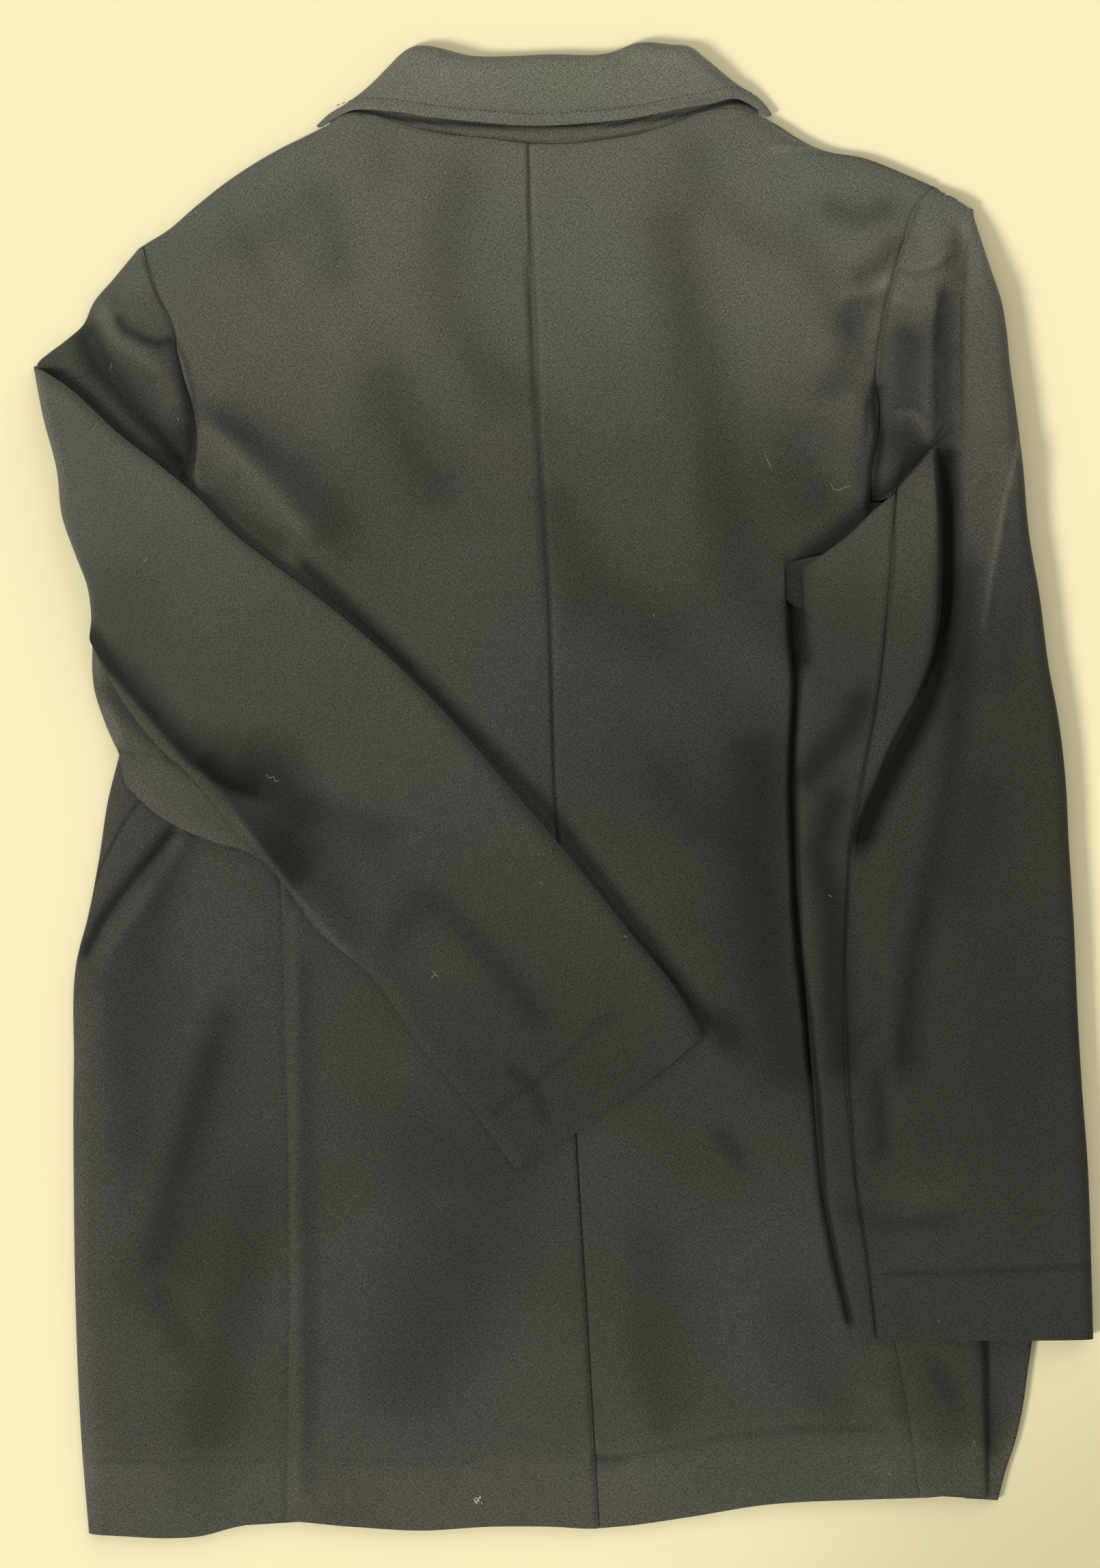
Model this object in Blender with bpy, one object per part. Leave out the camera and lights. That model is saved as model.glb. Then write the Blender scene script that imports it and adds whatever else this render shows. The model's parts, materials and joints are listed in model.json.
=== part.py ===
"""A single-breasted blazer laid flat on its front, with the back up and the left sleeve folded across it.

Tables are in millimetres: +X to the right as it lies, +Y towards the collar, +Z up from the surface.
Every piece is a cloth wall. A folded edge is a wall that rounds down to what lies below it, and
each layer rests on the one under it. The meshes are made in metres.
"""

import math

import bmesh
import bpy
import numpy as np

MM = 0.001
CLOTH = 1.6
SEAM_GAP = 0.3
LAYER_GAP = 0.9
TIP_GAP = 0.8

FRONT_LEVEL = 0.8
OVER_LAPEL_LEVEL = 3.0
BACK_LEVEL = 6.4
HEM_LEVEL = 5.0
HEM_EASE = 70.0
PLEAT_LIFT = 1.9
SHOULDER_LEVEL = 2.8
SHOULDER_ROUND = 12.0
SIDE_ROUND = 8.0
COLLAR_ROUND = 8.0
SLEEVE_ROUND = 8.0
COLLAR_LEVEL = 9.0
COLLAR_END_LEVEL = 6.6
UNDERARM = 148.0
CAP_HIDDEN_LEVEL = 8.2
NECK_LEFT = -118.0
NECK_RIGHT = 94.0
STAND_LEFT = -120.0
STAND_RIGHT = 100.0
PLEAT_RISE = 2.2
VENT_TOP = -140.0
VENT_WIDTH = 35.0
SIDE_DROP = 26.0
PLEAT_DROP = 16.0
HEAD_FOOT_Y = 175.0

CLOTH_COLOUR = (0.030, 0.030, 0.026, 1.0)
CLOTH_ROUGHNESS = 0.9

# Outlines and seams of the body, from the hem up.
LEFT_SIDE = [(-245, -386), (-249, -337), (-252, -270), (-253, -211), (-253, -143), (-251, -86),
             (-246, -67), (-240, -36), (-235, -4), (-230, 16), (-224, 45), (-214, 90), (-203, 148)]
RIGHT_SIDE = [(218, -364), (218, -330), (217, -284), (217, -227), (212, -157), (203, -86),
              (192, -15), (183, 55), (173, 110), (166, 148)]
RIGHT_REACH = [(224, -368), (228, -352), (233, -337), (237, -319), (240, -297), (242, -283),
               (242, -245), (238, -192), (228, -121), (215, -51), (199, 20), (186, 73), (170, 148)]
HEM = [(-246, -384), (-228, -385), (-205, -386), (-188, -385), (-168, -380), (-150, -377.5),
       (-110, -380), (-74, -382), (-37, -380), (-7, -380), (17, -381), (29, -380), (65, -375),
       (102, -369), (156, -366), (184, -365), (213, -364), (225, -367)]
CENTRE_BACK = [(18, -381), (12, -277), (6, -178), (2, -100), (-4, -19), (-6, 91), (-11, 182),
               (-14, 256), (-18, 334)]
PRINCESS_LEFT = [(-143, -379), (-142, -310), (-141, -247), (-142, -190), (-144, -110), (-146, -49),
                 (-154, 2), (-167, 55), (-182, 105), (-190, 148)]
PRINCESS_RIGHT = [(184, -365), (181, -342), (176, -309), (171, -284), (156, -192), (148, -104),
                  (146, -33), (150, 27), (156, 91), (158, 148)]
ARMHOLE_LEFT = [(-190, 148), (-190, 165), (-189, 182), (-191, 195), (-196, 212), (-199, 226),
                (-200, 235), (-211, 260), (-217, 280)]
ARMHOLE_RIGHT = [(158, 148), (158, 165), (161, 180), (162, 194), (161, 212), (162, 227),
                 (165, 243), (168, 256), (172, 271), (176, 285), (181, 300), (190, 311)]
TOP_LEFT = [(-217, 280), (-204, 288), (-190, 300), (-175, 312), (-150, 328), (-130, 338),
            (-120, 343), (-113, 347), (-105, 348), (-99, 348), (-89, 345), (-76, 341), (-61, 338),
            (-40, 336), (-18, 333)]
TOP_RIGHT = [(-18, 333), (2, 333), (20, 335), (38, 338), (52, 342), (63, 346), (74, 350),
             (88, 351), (109, 343), (120, 336), (132, 330), (156, 325), (174, 318), (190, 311)]
RIDGE_RIGHT = [(148, -372), (137, -260), (127, -174), (123.5, -143), (119, -89), (116, -62), (113.5, -16),
               (113.5, 1), (115, 26), (116.5, 50), (114, 79), (112, 114), (122, 150), (134, 200),
               (146, 260), (158, 324)]

# Collar and lapels.
COLLAR_OUTLINE = [(-130, 340), (-121, 349), (-113, 354), (-99, 365), (-92, 372), (-80, 383),
                  (-45, 379), (-7, 380), (25, 381), (39, 386), (56, 385), (65, 384), (73, 378),
                  (89, 365), (102, 356), (110, 345)]
FALL_EDGE = [(-127, 340.5), (-118, 346.5), (-110, 350), (-95, 350), (-85, 349), (-72, 347), (-44, 344),
             (-16, 342), (7, 343), (29, 345), (47, 348), (61, 351), (74, 353), (90, 356),
             (98, 352.5), (107, 345.5)]
ROLL_LINE = [(2, -15), (20, 90), (41, 210), (58, 318)]
LAPEL_EDGE = [(6, -12), (42, 60), (84, 150), (112, 228), (62, 300)]

# Right sleeve: its inner fold, hind seam, raised flap, valley, outer fold and top.
RIGHT_INNER = [(149, -283), (143, -254), (135, -216), (128, -143), (124, -89), (121, -51), (120, 7),
               (121, 32), (124, 69), (124, 94), (123, 113)]
HIND_SEAM = [(161, -283), (155, -238), (151, -211), (147, -174), (144, -134), (144, -98), (145, -62),
             (147, -27), (151, -3), (156, 20), (161, 45), (164, 70), (167, 108), (169, 129), (171, 152)]
HIND_SEAM_TOP = [(187, 175), (196, 182), (201.5, 191), (204, 206), (204, 226), (204.5, 261), (204.5, 284),
                 (203.5, 303.2)]
RIGHT_OUTER = [(273, -284), (272, -247), (270, -192), (267, -152), (265, -118), (263, -71), (260, -22),
               (259, 0), (255, 36), (250, 63), (245, 101), (240, 130), (236, 172), (233, 196),
               (230, 218), (228, 238), (226, 250), (220, 269), (215, 285), (211.5, 300)]
HEAD_FOOT = [(158.3, 149), (161.2, 149.2), (164, 149.8), (167, 151.5), (170, 154.5), (172.3, 159.5), (174.8, 164),
             (178, 168.4), (182.2, 172.6), (186.85, 175.5)]
HEAD_SHARES = (0, 0.07, 0.15, 0.23, 0.31, 0.39, 0.47, 0.56, 0.70, 1)
CAP_RIGHT = [(190, 311), (199, 306), (203.5, 304), (210, 301.5), (211.5, 300)]
DIAGONAL = [(123, 113), (136, 122), (148, 131), (160, 143), (169, 152), (178, 166), (187, 175)]
FLAP = [(148, -36), (152, -16), (162, 6), (169, 22), (176, 34), (184, 49), (190, 64), (193, 78),
        (193, 174), (191, 184), (190, 216), (191, 241), (196, 256), (198, 276), (198, 300)]
VALLEY_EDGE = [(153, -36), (158, -23), (167, -3), (175, 14), (185, 34), (193, 52), (198, 69),
               (203, 106), (204, 131), (202, 181), (204, 226), (210, 300)]
LOW_LAYER_EDGE = [(154, -283), (136, -143), (129, -51), (129, 7), (130, 72), (129, 88), (115, 97),
                  (114.5, 117), (152, 125), (174, 134), (185, 143), (190, 155), (197, 200), (200, 300)]

# Left sleeve: the fold at the outline, upper crease, cuff, lower fold, the lobe below it and the cap.
LEFT_FOLD = [(-243, 76), (-243, 91), (-245, 105), (-251, 121), (-258, 141), (-261, 166), (-268, 193),
             (-273, 219)]
LEFT_CREASE = [(-273, 219), (-255, 207), (-230, 184), (-208, 167), (-191, 153), (-171, 133),
               (-141, 110), (-110, 86), (-70, 49), (-29, 3), (11, -44), (38, -78), (56, -100),
               (72, -127)]
LEFT_CUFF = [(-25, -195), (-7, -178), (11, -169), (38, -147), (56, -136), (72, -127)]
LEFT_LOWER = [(-243, 76), (-222, 39), (-210, 24), (-190, 5), (-168, -22), (-142, -51), (-128, -71),
              (-99, -96), (-74, -132), (-50, -161), (-25, -195)]
LOBE = [(-243, 74), (-243, 59), (-242, 51), (-238, 38), (-234, 28), (-229, 17), (-226, 3),
        (-219, -5), (-210, -13), (-194, -22), (-184, -26), (-160, -34), (-144, -50)]
UNDER_LOWER = [(-148, -43), (-138, -53), (-124.5, -68), (-95.5, -93), (-70.5, -129), (-46.5, -158), (-21, -193)]
UNDER_START = [(-243, 74), (-232, 86), (-218, 99), (-206, 122), (-199, 140), (-186, 144)]
CAP_LEFT = [(-238.5, 94), (-239, 105), (-245, 122), (-251.5, 145), (-255, 168), (-260, 190), (-263, 205),
            (-264, 215), (-262, 225.5), (-257, 231), (-242, 250), (-232, 263), (-220, 277.5)]
CAP_FOOT = [(-238.5, 94), (-229, 104), (-219, 124), (-210.5, 142), (-206, 149.2), (-198, 149.2), (-190.5, 149.2)]

# Folds: route, height above (or below) the cloth, and half-widths on the route's left and right.
BACK_FOLDS = [
    {"route": [(65, 300), (83, 230), (90, 160), (100, 110)], "height": -1.6, "widths": (20, 17)},
    {"route": [(-2, 180), (8, 110), (32, 50), (52, 10)], "height": -1.2, "widths": (26, 14)},
    {"route": [(-92, 230), (-78, 190), (-62, 155)], "height": -1.5, "widths": (16, 18)},
    {"route": [(-128, 300), (-122, 265), (-125, 230)], "height": -1.4, "widths": (14, 14)},
    {"route": [(-187, 190), (-172, 178), (-154, 157), (-133, 133)], "height": 3.4, "widths": (9, 8)},
    {"route": [(-183, 203), (-163, 190), (-146, 172), (-128, 150)], "height": -1.6, "widths": (8, 10)},
    {"route": [(165, 241), (150, 228), (138, 232)], "height": 2.6, "widths": (8, 8)},
    {"route": [(128, 297), (150, 300), (172, 306)], "height": -2.4, "widths": (8, 10)},
    {"route": [(150, 245), (163, 262), (172, 276)], "height": -2.0, "widths": (8, 8)},
    {"route": [(156, 215), (155, 188), (153, 168)], "height": 2.2, "widths": (7, 8)},
    {"route": [(113, 112), (114, 79), (116.5, 50), (113.5, 1), (116, -62), (119, -89), (123.5, -143)],
     "height": 3.4, "widths": (1.8, 15)},
    {"route": [(-196, -40), (-218, -86), (-222, -140)], "height": -1.6, "widths": (11, 12)},
    {"route": [(-190, -100), (-200, -150), (-219, -211), (-216, -255)], "height": -1.8, "widths": (12, 12)},
    {"route": [(-150, -240), (-182, -320), (-180, -350)], "height": -1.4, "widths": (18, 16)},
    {"route": [(-218, -52), (-236, -84), (-242, -140)], "height": 1.6, "widths": (9, 9)},
    {"route": [(62, -30), (66, -70)], "height": 1.2, "widths": (20, 20)},
]
RIGHT_FOLDS = [
    {"route": [(156, 50), (141, 24), (130, 10)], "height": -1.8, "widths": (10, 10)},
    {"route": [(204, 38), (188, -14), (181, -52), (176, -89), (176, -130)], "height": -2.4, "widths": (9, 14)},
    {"route": [(230, 172), (224, 130), (218, 101), (215, 83)], "height": 1.2, "widths": (5, 5)},
    {"route": [(208, 190), (206, 240), (206, 285)], "height": -1.0, "widths": (8, 8)},
    {"route": [(172, 262), (182, 268), (193, 270), (200, 265)], "height": 1.8, "widths": (6, 5)},
    {"route": [(168, 247), (178, 244), (187, 236), (192, 222)], "height": 1.8, "widths": (5, 6)},
    {"route": [(173, 288), (184, 292), (194, 284)], "height": 1.2, "widths": (7, 7)},
]
LEFT_FOLDS = [
    {"route": [(-240, 78), (-226, 52), (-208, 34), (-192, 18), (-178, 8)], "height": -4.2, "widths": (5, 8)},
    {"route": [(-166, 8), (-148, 8), (-132, -8), (-108, -24), (-88, -34)], "height": -1.6, "widths": (9, 9)},
    {"route": [(-148, -22), (-128, -50), (-108, -80)], "height": -1.2, "widths": (8, 8)},
    {"route": [(-60, -60), (-44, -92), (-38, -120)], "height": -1.0, "widths": (12, 12)},
]
CAP_FOLDS = [
    {"route": [(-248, 241), (-238, 220), (-218, 195), (-206, 185), (-198, 172)], "height": -3.6, "widths": (6, 6)},
    {"route": [(-240, 253), (-228, 234), (-210, 222), (-203, 205), (-198, 188)], "height": 2.0, "widths": (7, 7)},
    {"route": [(-232, 242), (-218, 233), (-204, 232)], "height": -1.4, "widths": (6, 6)},
]

# A sleeve's top layer above what it rests on: share of the way across, and height.
RIGHT_LOFT = [(0.0, 5.6), (0.2, 6.6), (0.42, 9.4), (0.6, 10.2), (0.8, 9.4), (1.0, 7.0)]
LEFT_LOFT = [(0.0, 5.0), (0.3, 5.6), (0.6, 6.0), (1.0, 5.0)]
# How full the right sleeve is, and how deep its valley, by Y.
RIGHT_FULLNESS = [(-283, 0.66), (-180, 0.85), (0, 1.0), (200, 1.15), (255, 0.95), (285, 0.6), (304, 0.25)]
VALLEY_DEPTH = [(-40, 0.0), (-16, 3.4), (20, 6.0), (60, 7.2), (150, 7.2), (160, 5.0), (168, 2.6), (176, 1.6),
                (200, 1.6), (262, 0.0)]


class Line:
    """A smooth curve through measured points, read by its length, by X or by Y."""

    def __init__(self, points):
        self.points = np.array(points, float)
        steps = np.linalg.norm(np.diff(self.points, axis=0), axis=1)
        self.stops = np.concatenate([[0.0], np.cumsum(steps)]) / steps.sum()
        self.slopes = np.gradient(self.points, self.stops, axis=0)
        self.dense = self.at(np.linspace(0, 1, 600))

    def at(self, shares):
        shares = np.clip(np.asarray(shares, float), 0, 1)
        last = len(self.stops) - 2
        start = np.clip(np.searchsorted(self.stops, shares, side="right") - 1, 0, last)
        span = self.stops[start + 1] - self.stops[start]
        t = ((shares - self.stops[start]) / span)[..., None]
        span = span[..., None]
        here, there = self.points[start], self.points[start + 1]
        leave, arrive = self.slopes[start] * span, self.slopes[start + 1] * span
        return (here * (2 * t**3 - 3 * t**2 + 1) + leave * (t**3 - 2 * t**2 + t)
                + there * (3 * t**2 - 2 * t**3) + arrive * (t**3 - t**2))

    def read(self, known, values):
        order = np.argsort(self.dense[:, known])
        return np.interp(values, self.dense[order, known], self.dense[order, 1 - known])

    def x_at(self, y):
        return self.read(1, y)

    def y_at(self, x):
        return self.read(0, x)


LINE = {
    "left_side": Line(LEFT_SIDE), "right_side": Line(RIGHT_SIDE), "right_reach": Line(RIGHT_REACH),
    "hem": Line(HEM), "centre": Line(CENTRE_BACK), "back_left_edge": Line(PRINCESS_LEFT + ARMHOLE_LEFT[1:]),
    "back_right_edge": Line(PRINCESS_RIGHT + ARMHOLE_RIGHT[1:]), "top_left": Line(TOP_LEFT),
    "top_right": Line(TOP_RIGHT), "ridge_right": Line(RIDGE_RIGHT), "front_left_edge":
    Line(LEFT_SIDE[:-1] + [(-205, 128), (-192, 150), (-189.5, 165)] + ARMHOLE_LEFT[2:]), "front_right_edge": Line(RIGHT_REACH + ARMHOLE_RIGHT[2:]),
    "collar_outline": Line(COLLAR_OUTLINE), "fall_edge": Line(FALL_EDGE), "roll": Line(ROLL_LINE),
    "lapel_edge": Line(LAPEL_EDGE), "right_inner": Line(RIGHT_INNER), "hind_seam": Line(HIND_SEAM),
    "hind_seam_top": Line(HIND_SEAM_TOP), "right_outer": Line(RIGHT_OUTER), "cap_right": Line(CAP_RIGHT),
    "diagonal": Line(DIAGONAL), "flap": Line(FLAP), "valley_edge": Line(VALLEY_EDGE),
    "left_fold": Line(LEFT_FOLD), "left_crease": Line(LEFT_CREASE), "left_cuff": Line(LEFT_CUFF),
    "left_lower": Line(LEFT_LOWER), "lobe": Line(LOBE), "under_start": Line(UNDER_START),
    "cap_left": Line(CAP_LEFT), "cap_foot": Line(CAP_FOOT),
}


def smooth(value):
    value = np.clip(value, 0, 1)
    return value * value * (3 - 2 * value)


def rounded(distance, reach):
    """A quarter round: 0 at a folded edge and 1 from the given reach inwards."""
    inside = 1 - np.clip(np.asarray(distance, float) / reach, 0, 1)
    return np.sqrt(1 - inside**2)


def table_at(table, value):
    stops, values = np.array(table, float).T
    return np.interp(value, stops, values)


def fold_height(x, y, folds):
    """The summed height of the folds at each point, as soft ridges and troughs along their routes."""
    total = np.zeros(np.broadcast(x, y).shape)
    for fold in folds:
        route = np.array(fold["route"], float)
        nearest = np.full(total.shape, 1e9)
        side = np.ones(total.shape)
        for start, end in zip(route[:-1], route[1:]):
            along = end - start
            share = np.clip(((x - start[0]) * along[0] + (y - start[1]) * along[1]) / along.dot(along), 0, 1)
            off_x, off_y = x - start[0] - share * along[0], y - start[1] - share * along[1]
            distance = np.hypot(off_x, off_y)
            closer = distance < nearest
            nearest = np.where(closer, distance, nearest)
            side = np.where(closer, np.sign(along[0] * off_y - along[1] * off_x), side)
        width = np.where(side > 0, fold["widths"][0], fold["widths"][1])
        total += fold["height"] * np.exp(-((nearest / width) ** 2))
    return total


def front_height(x, y):
    """Mid-height of the fronts, which rise where they lie on the turned-back lapels."""
    across = np.abs(x - LINE["centre"].x_at(y))
    reach = np.interp(y, [-60, -20, 60, 150, 228, 300, 330], [0, 10, 46, 88, 116, 66, 60])
    over = smooth((reach + 36 - across) / 24) * smooth((y + 70) / 30)
    return FRONT_LEVEL + (OVER_LAPEL_LEVEL - FRONT_LEVEL) * over


def body_height(x, y):
    """Mid-height of the back and side panels, before their folded edges round down."""
    level = HEM_LEVEL + (BACK_LEVEL - HEM_LEVEL) * smooth((y - LINE["hem"].y_at(x)) / HEM_EASE)
    from_side = LINE["right_side"].x_at(y) - x
    lift = PLEAT_LIFT * smooth(1 - (from_side - 8) / 70) * smooth((UNDERARM - y) / 120)
    return level + lift + fold_height(x, y, BACK_FOLDS)


def rest_height(x, y, gap):
    """Lower face of a layer lying on the body and, past its right side, on the pleat and the surface."""
    on_body = np.maximum(body_height(x, y), BACK_LEVEL - 0.4) + CLOTH / 2 + gap
    past_side = x - LINE["right_side"].x_at(y) - 14 * smooth((y - 95) / 20) * smooth((170 - y) / 20)
    past_pleat = x - LINE["right_reach"].x_at(y)
    on_pleat = CLOTH + PLEAT_RISE + gap
    return np.maximum(on_body * (1 - smooth((past_side - 7) / SIDE_DROP)),
                      on_pleat * (1 - smooth((past_pleat - 4) / PLEAT_DROP)))


def spread(shares, values):
    """One value a column, across several edges: share 0 is on the first edge, 1 on the second, and so on."""
    values = np.stack(values)
    start = np.clip(np.floor(shares).astype(int), 0, len(values) - 2)
    columns = np.arange(len(shares))
    first, second = values[start, :, columns].T, values[start + 1, :, columns].T
    return first + (second - first) * (shares - start)


def stations(count, width, start_round=0.0, end_round=0.0):
    """Shares of a width, closer together inside the rounds of folded edges."""
    steps = np.array([0.0, 0.2, 0.55])
    first, last = start_round / width, 1 - end_round / width
    parts = [steps * first if start_round else steps[:0], np.linspace(first, last, count + 1)]
    parts.append(1 - steps[::-1] * end_round / width if end_round else steps[:0])
    return np.concatenate(parts)


LOWER_ROWS = np.linspace(0, 1, 20)
UPPER_ROWS = np.concatenate([np.linspace(0, 0.93, 8), [0.962, 0.986, 1.0]])
BODY_ROWS = np.concatenate([LOWER_ROWS, 1 + UPPER_ROWS[1:]])
HIND_ROWS = np.sort(np.append(stations(19, 400, end_round=SLEEVE_ROUND), 0.918))


def body_plan(edges, us, rows, top=None):
    """A plan grid of a body panel. Rows run from the hem to the underarm, then on to the top edge."""
    y = np.repeat(np.interp(rows, [0, 1, 2], [-380, UNDERARM, 320])[:, None], len(us), axis=1)
    for _ in range(40):
        x = spread(us, [edge(y) for edge in edges])
        hem = LINE["hem"].y_at(x)
        lower = hem + (UNDERARM - hem) * np.minimum(rows, 1)[:, None]
        high = UNDERARM if top is None else top(x)
        y = np.where(rows[:, None] <= 1, lower, UNDERARM + (high - UNDERARM) * (rows[:, None] - 1))
    return np.stack([x, y], 2)


def patch(low, high, left, right, us, vs):
    """A plan grid between four boundary lines: v runs from low to high, and u from left to right."""
    u, v = us[None, :, None], vs[:, None, None]
    bottom, top = low.at(us)[None], high.at(us)[None]
    start, end = left.at(vs)[:, None], right.at(vs)[:, None]
    corners = ((1 - u) * (1 - v) * bottom[:, :1] + u * (1 - v) * bottom[:, -1:]
               + (1 - u) * v * top[:, :1] + u * v * top[:, -1:])
    return (1 - v) * bottom + v * top + (1 - u) * start + u * end - corners


def row_distance(plan, from_end=False):
    """Each point's distance along its row from the row's first or last point."""
    steps = np.linalg.norm(np.diff(plan, axis=1), axis=2)
    run = np.concatenate([np.zeros((len(plan), 1)), np.cumsum(steps, axis=1)], axis=1)
    return run[:, -1:] - run if from_end else run


def column_distance(plan, from_end=False):
    return row_distance(plan.transpose(1, 0, 2), from_end).T


def inset(plan, start=0.0, end=0.0):
    """Moves a plan's first and last columns in by the given distances, and the rest in proportion."""
    share = row_distance(plan)
    share = share / share[:, -1:]
    inwards = plan[:, -1:] - plan[:, :1]
    inwards = inwards / np.linalg.norm(inwards, axis=2, keepdims=True)
    return plan + inwards * (start * (1 - share) - end * share)[..., None]


def cloth_material(name):
    material = bpy.data.materials.new(name)
    material.use_nodes = True
    shader = material.node_tree.nodes["Principled BSDF"]
    shader.inputs["Base Color"].default_value = CLOTH_COLOUR
    shader.inputs["Roughness"].default_value = CLOTH_ROUGHNESS
    shader.inputs["Metallic"].default_value = 0.0
    return material


def wall_offsets(points):
    """Vectors to the upper face of a wall around these points, longer at bends to keep it even."""
    across = points[1:, 1:] - points[:-1, :-1]
    back = points[1:, :-1] - points[:-1, 1:]
    cells = np.cross(across, back)
    cells = cells / np.linalg.norm(cells, axis=2, keepdims=True)
    total = np.zeros(points.shape)
    for rows in (slice(None, -1), slice(1, None)):
        for columns in (slice(None, -1), slice(1, None)):
            total[rows, columns] += cells
    normals = total / np.linalg.norm(total, axis=2, keepdims=True)
    least = np.ones(points.shape[:2])
    for rows in (slice(None, -1), slice(1, None)):
        for columns in (slice(None, -1), slice(1, None)):
            facing = (normals[rows, columns] * cells).sum(axis=2)
            least[rows, columns] = np.minimum(least[rows, columns], facing)
    return normals / np.clip(least, 0.75, 1)[..., None]


def closed_mesh(name, upper, lower):
    """Makes one closed solid between two grids of points with the same rows and columns."""
    rows, columns = upper.shape[:2]
    mesh = bmesh.new()
    grids = [[[mesh.verts.new(point * MM) for point in row] for row in grid] for grid in (upper, lower)]
    for r in range(rows - 1):
        for c in range(columns - 1):
            top = [grids[0][r][c], grids[0][r][c + 1], grids[0][r + 1][c + 1], grids[0][r + 1][c]]
            under = [grids[1][r][c], grids[1][r + 1][c], grids[1][r + 1][c + 1], grids[1][r][c + 1]]
            mesh.faces.new((top[0], top[1], top[2]))
            mesh.faces.new((top[0], top[2], top[3]))
            mesh.faces.new((under[0], under[1], under[2]))
            mesh.faces.new((under[0], under[2], under[3]))
    border = [(0, c) for c in range(columns - 1)]
    border += [(r, columns - 1) for r in range(rows - 1)]
    border += [(rows - 1, c) for c in range(columns - 1, 0, -1)]
    border += [(r, 0) for r in range(rows - 1, 0, -1)]
    for here, there in zip(border, border[1:] + border[:1]):
        a, b = grids[0][here[0]][here[1]], grids[0][there[0]][there[1]]
        c, d = grids[1][there[0]][there[1]], grids[1][here[0]][here[1]]
        mesh.faces.new((b, a, d))
        mesh.faces.new((b, d, c))
    if mesh.calc_volume(signed=True) < 0:
        bmesh.ops.reverse_faces(mesh, faces=mesh.faces)
    data = bpy.data.meshes.new(name)
    mesh.to_mesh(data)
    mesh.free()
    data.shade_smooth()
    data.set_sharp_from_angle(angle=math.radians(40))
    data.materials.append(cloth_material(name + "_cloth"))
    piece = bpy.data.objects.new(name, data)
    bpy.context.scene.collection.objects.link(piece)
    return piece


def cloth_wall(name, plan, height, upright=None):
    """A cloth wall of even thickness around this plan and these mid-heights, with a seam's rim upright."""
    points = np.concatenate([plan, height[..., None]], axis=2)
    offset = wall_offsets(points) * CLOTH / 2
    if upright is not None:
        offset[upright] = [0, 0, CLOTH * 0.55]
    upper, lower = points + offset, points - offset
    upper[..., 2] = np.maximum(upper[..., 2], 0)
    lower[..., 2] = np.maximum(lower[..., 2], 0)
    return closed_mesh(name, upper, lower)


def vent_drop(x, y, side):
    """How far the right side of the vent lies below the left side that laps over it."""
    past = x - LINE["centre"].x_at(y)
    lapped = smooth((VENT_TOP - y) / 40)
    return side * (CLOTH + SEAM_GAP) * lapped * (1 - smooth((past - 1) / 22))


def back_plan(side):
    half = SEAM_GAP / 2
    centre = LINE["centre"].x_at
    if side < 0:
        edge = LINE["back_left_edge"].x_at
        us = np.concatenate([[0, 0.05, 0.1, 0.16, 0.23, 0.31], np.linspace(0.4, 1, 8)])
        return body_plan([lambda y: edge(y) + half, lambda y: centre(y) - half], us, BODY_ROWS,
                         LINE["top_left"].y_at)
    edge = LINE["back_right_edge"].x_at
    us = np.concatenate([np.linspace(0, 0.72, 7), [0.84, 0.93, 1, 1.07, 1.16, 1.4, 1.7, 2]])
    return body_plan([lambda y: centre(y) + half, LINE["ridge_right"].x_at, lambda y: edge(y) - half], us,
                     BODY_ROWS, LINE["top_right"].y_at)


def neck_share(x):
    """1 along the neck, where the back stays level, and 0 along the shoulders."""
    return smooth((x - NECK_LEFT + 6) / 12) * smooth((NECK_RIGHT + 6 - x) / 12)


def back_top_height(x, y):
    return SHOULDER_LEVEL + (body_height(x, y) - SHOULDER_LEVEL) * neck_share(x)


def back_panels():
    for name, side in (("back_left", -1), ("back_right", 1)):
        plan = back_plan(side)
        x, y = plan[..., 0], plan[..., 1]
        height = body_height(x, y) - vent_drop(x, y, side > 0)
        neck = neck_share(x)
        share = neck + (1 - neck) * rounded(column_distance(plan, from_end=True), SHOULDER_ROUND)
        cloth_wall(name, plan, SHOULDER_LEVEL + (height - SHOULDER_LEVEL) * share)


def vent_underlap():
    """The right back's strip that lies under the left back below the top of the vent."""
    y = np.linspace(LINE["hem"].y_at(0) + 1, VENT_TOP, 10)[:, None]
    inwards = np.array([0.15, 12, 24, VENT_WIDTH])[None, :]
    x = LINE["centre"].x_at(y) - inwards
    plan = np.stack([x, np.broadcast_to(y, x.shape)], 2)
    height = body_height(x, plan[..., 1]) - CLOTH - SEAM_GAP
    cloth_wall("vent_underlap", plan, height)


def side_left():
    seam = LINE["back_left_edge"].x_at
    us = stations(6, 108, start_round=SIDE_ROUND)
    plan = body_plan([LINE["left_side"].x_at, lambda y: seam(y) - SEAM_GAP / 2], us, LOWER_ROWS)
    plan = inset(plan, start=CLOTH / 2)
    height = body_height(plan[..., 0], plan[..., 1])
    cloth_wall("side_left", plan, 0.2 + (height - 0.2) * rounded(row_distance(plan), SIDE_ROUND))


def side_right():
    seam = LINE["back_right_edge"].x_at
    foot = CLOTH + PLEAT_RISE + TIP_GAP
    us = stations(4, 60, end_round=SIDE_ROUND)
    plan = body_plan([lambda y: seam(y) + SEAM_GAP / 2, LINE["right_side"].x_at], us, LOWER_ROWS)
    plan = inset(plan, end=CLOTH / 2)
    height = body_height(plan[..., 0], plan[..., 1])
    foot = np.minimum(foot, height[:, -1:] - 1)
    cloth_wall("side_right", plan, foot + (height - foot) * rounded(row_distance(plan, from_end=True), SIDE_ROUND))


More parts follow.
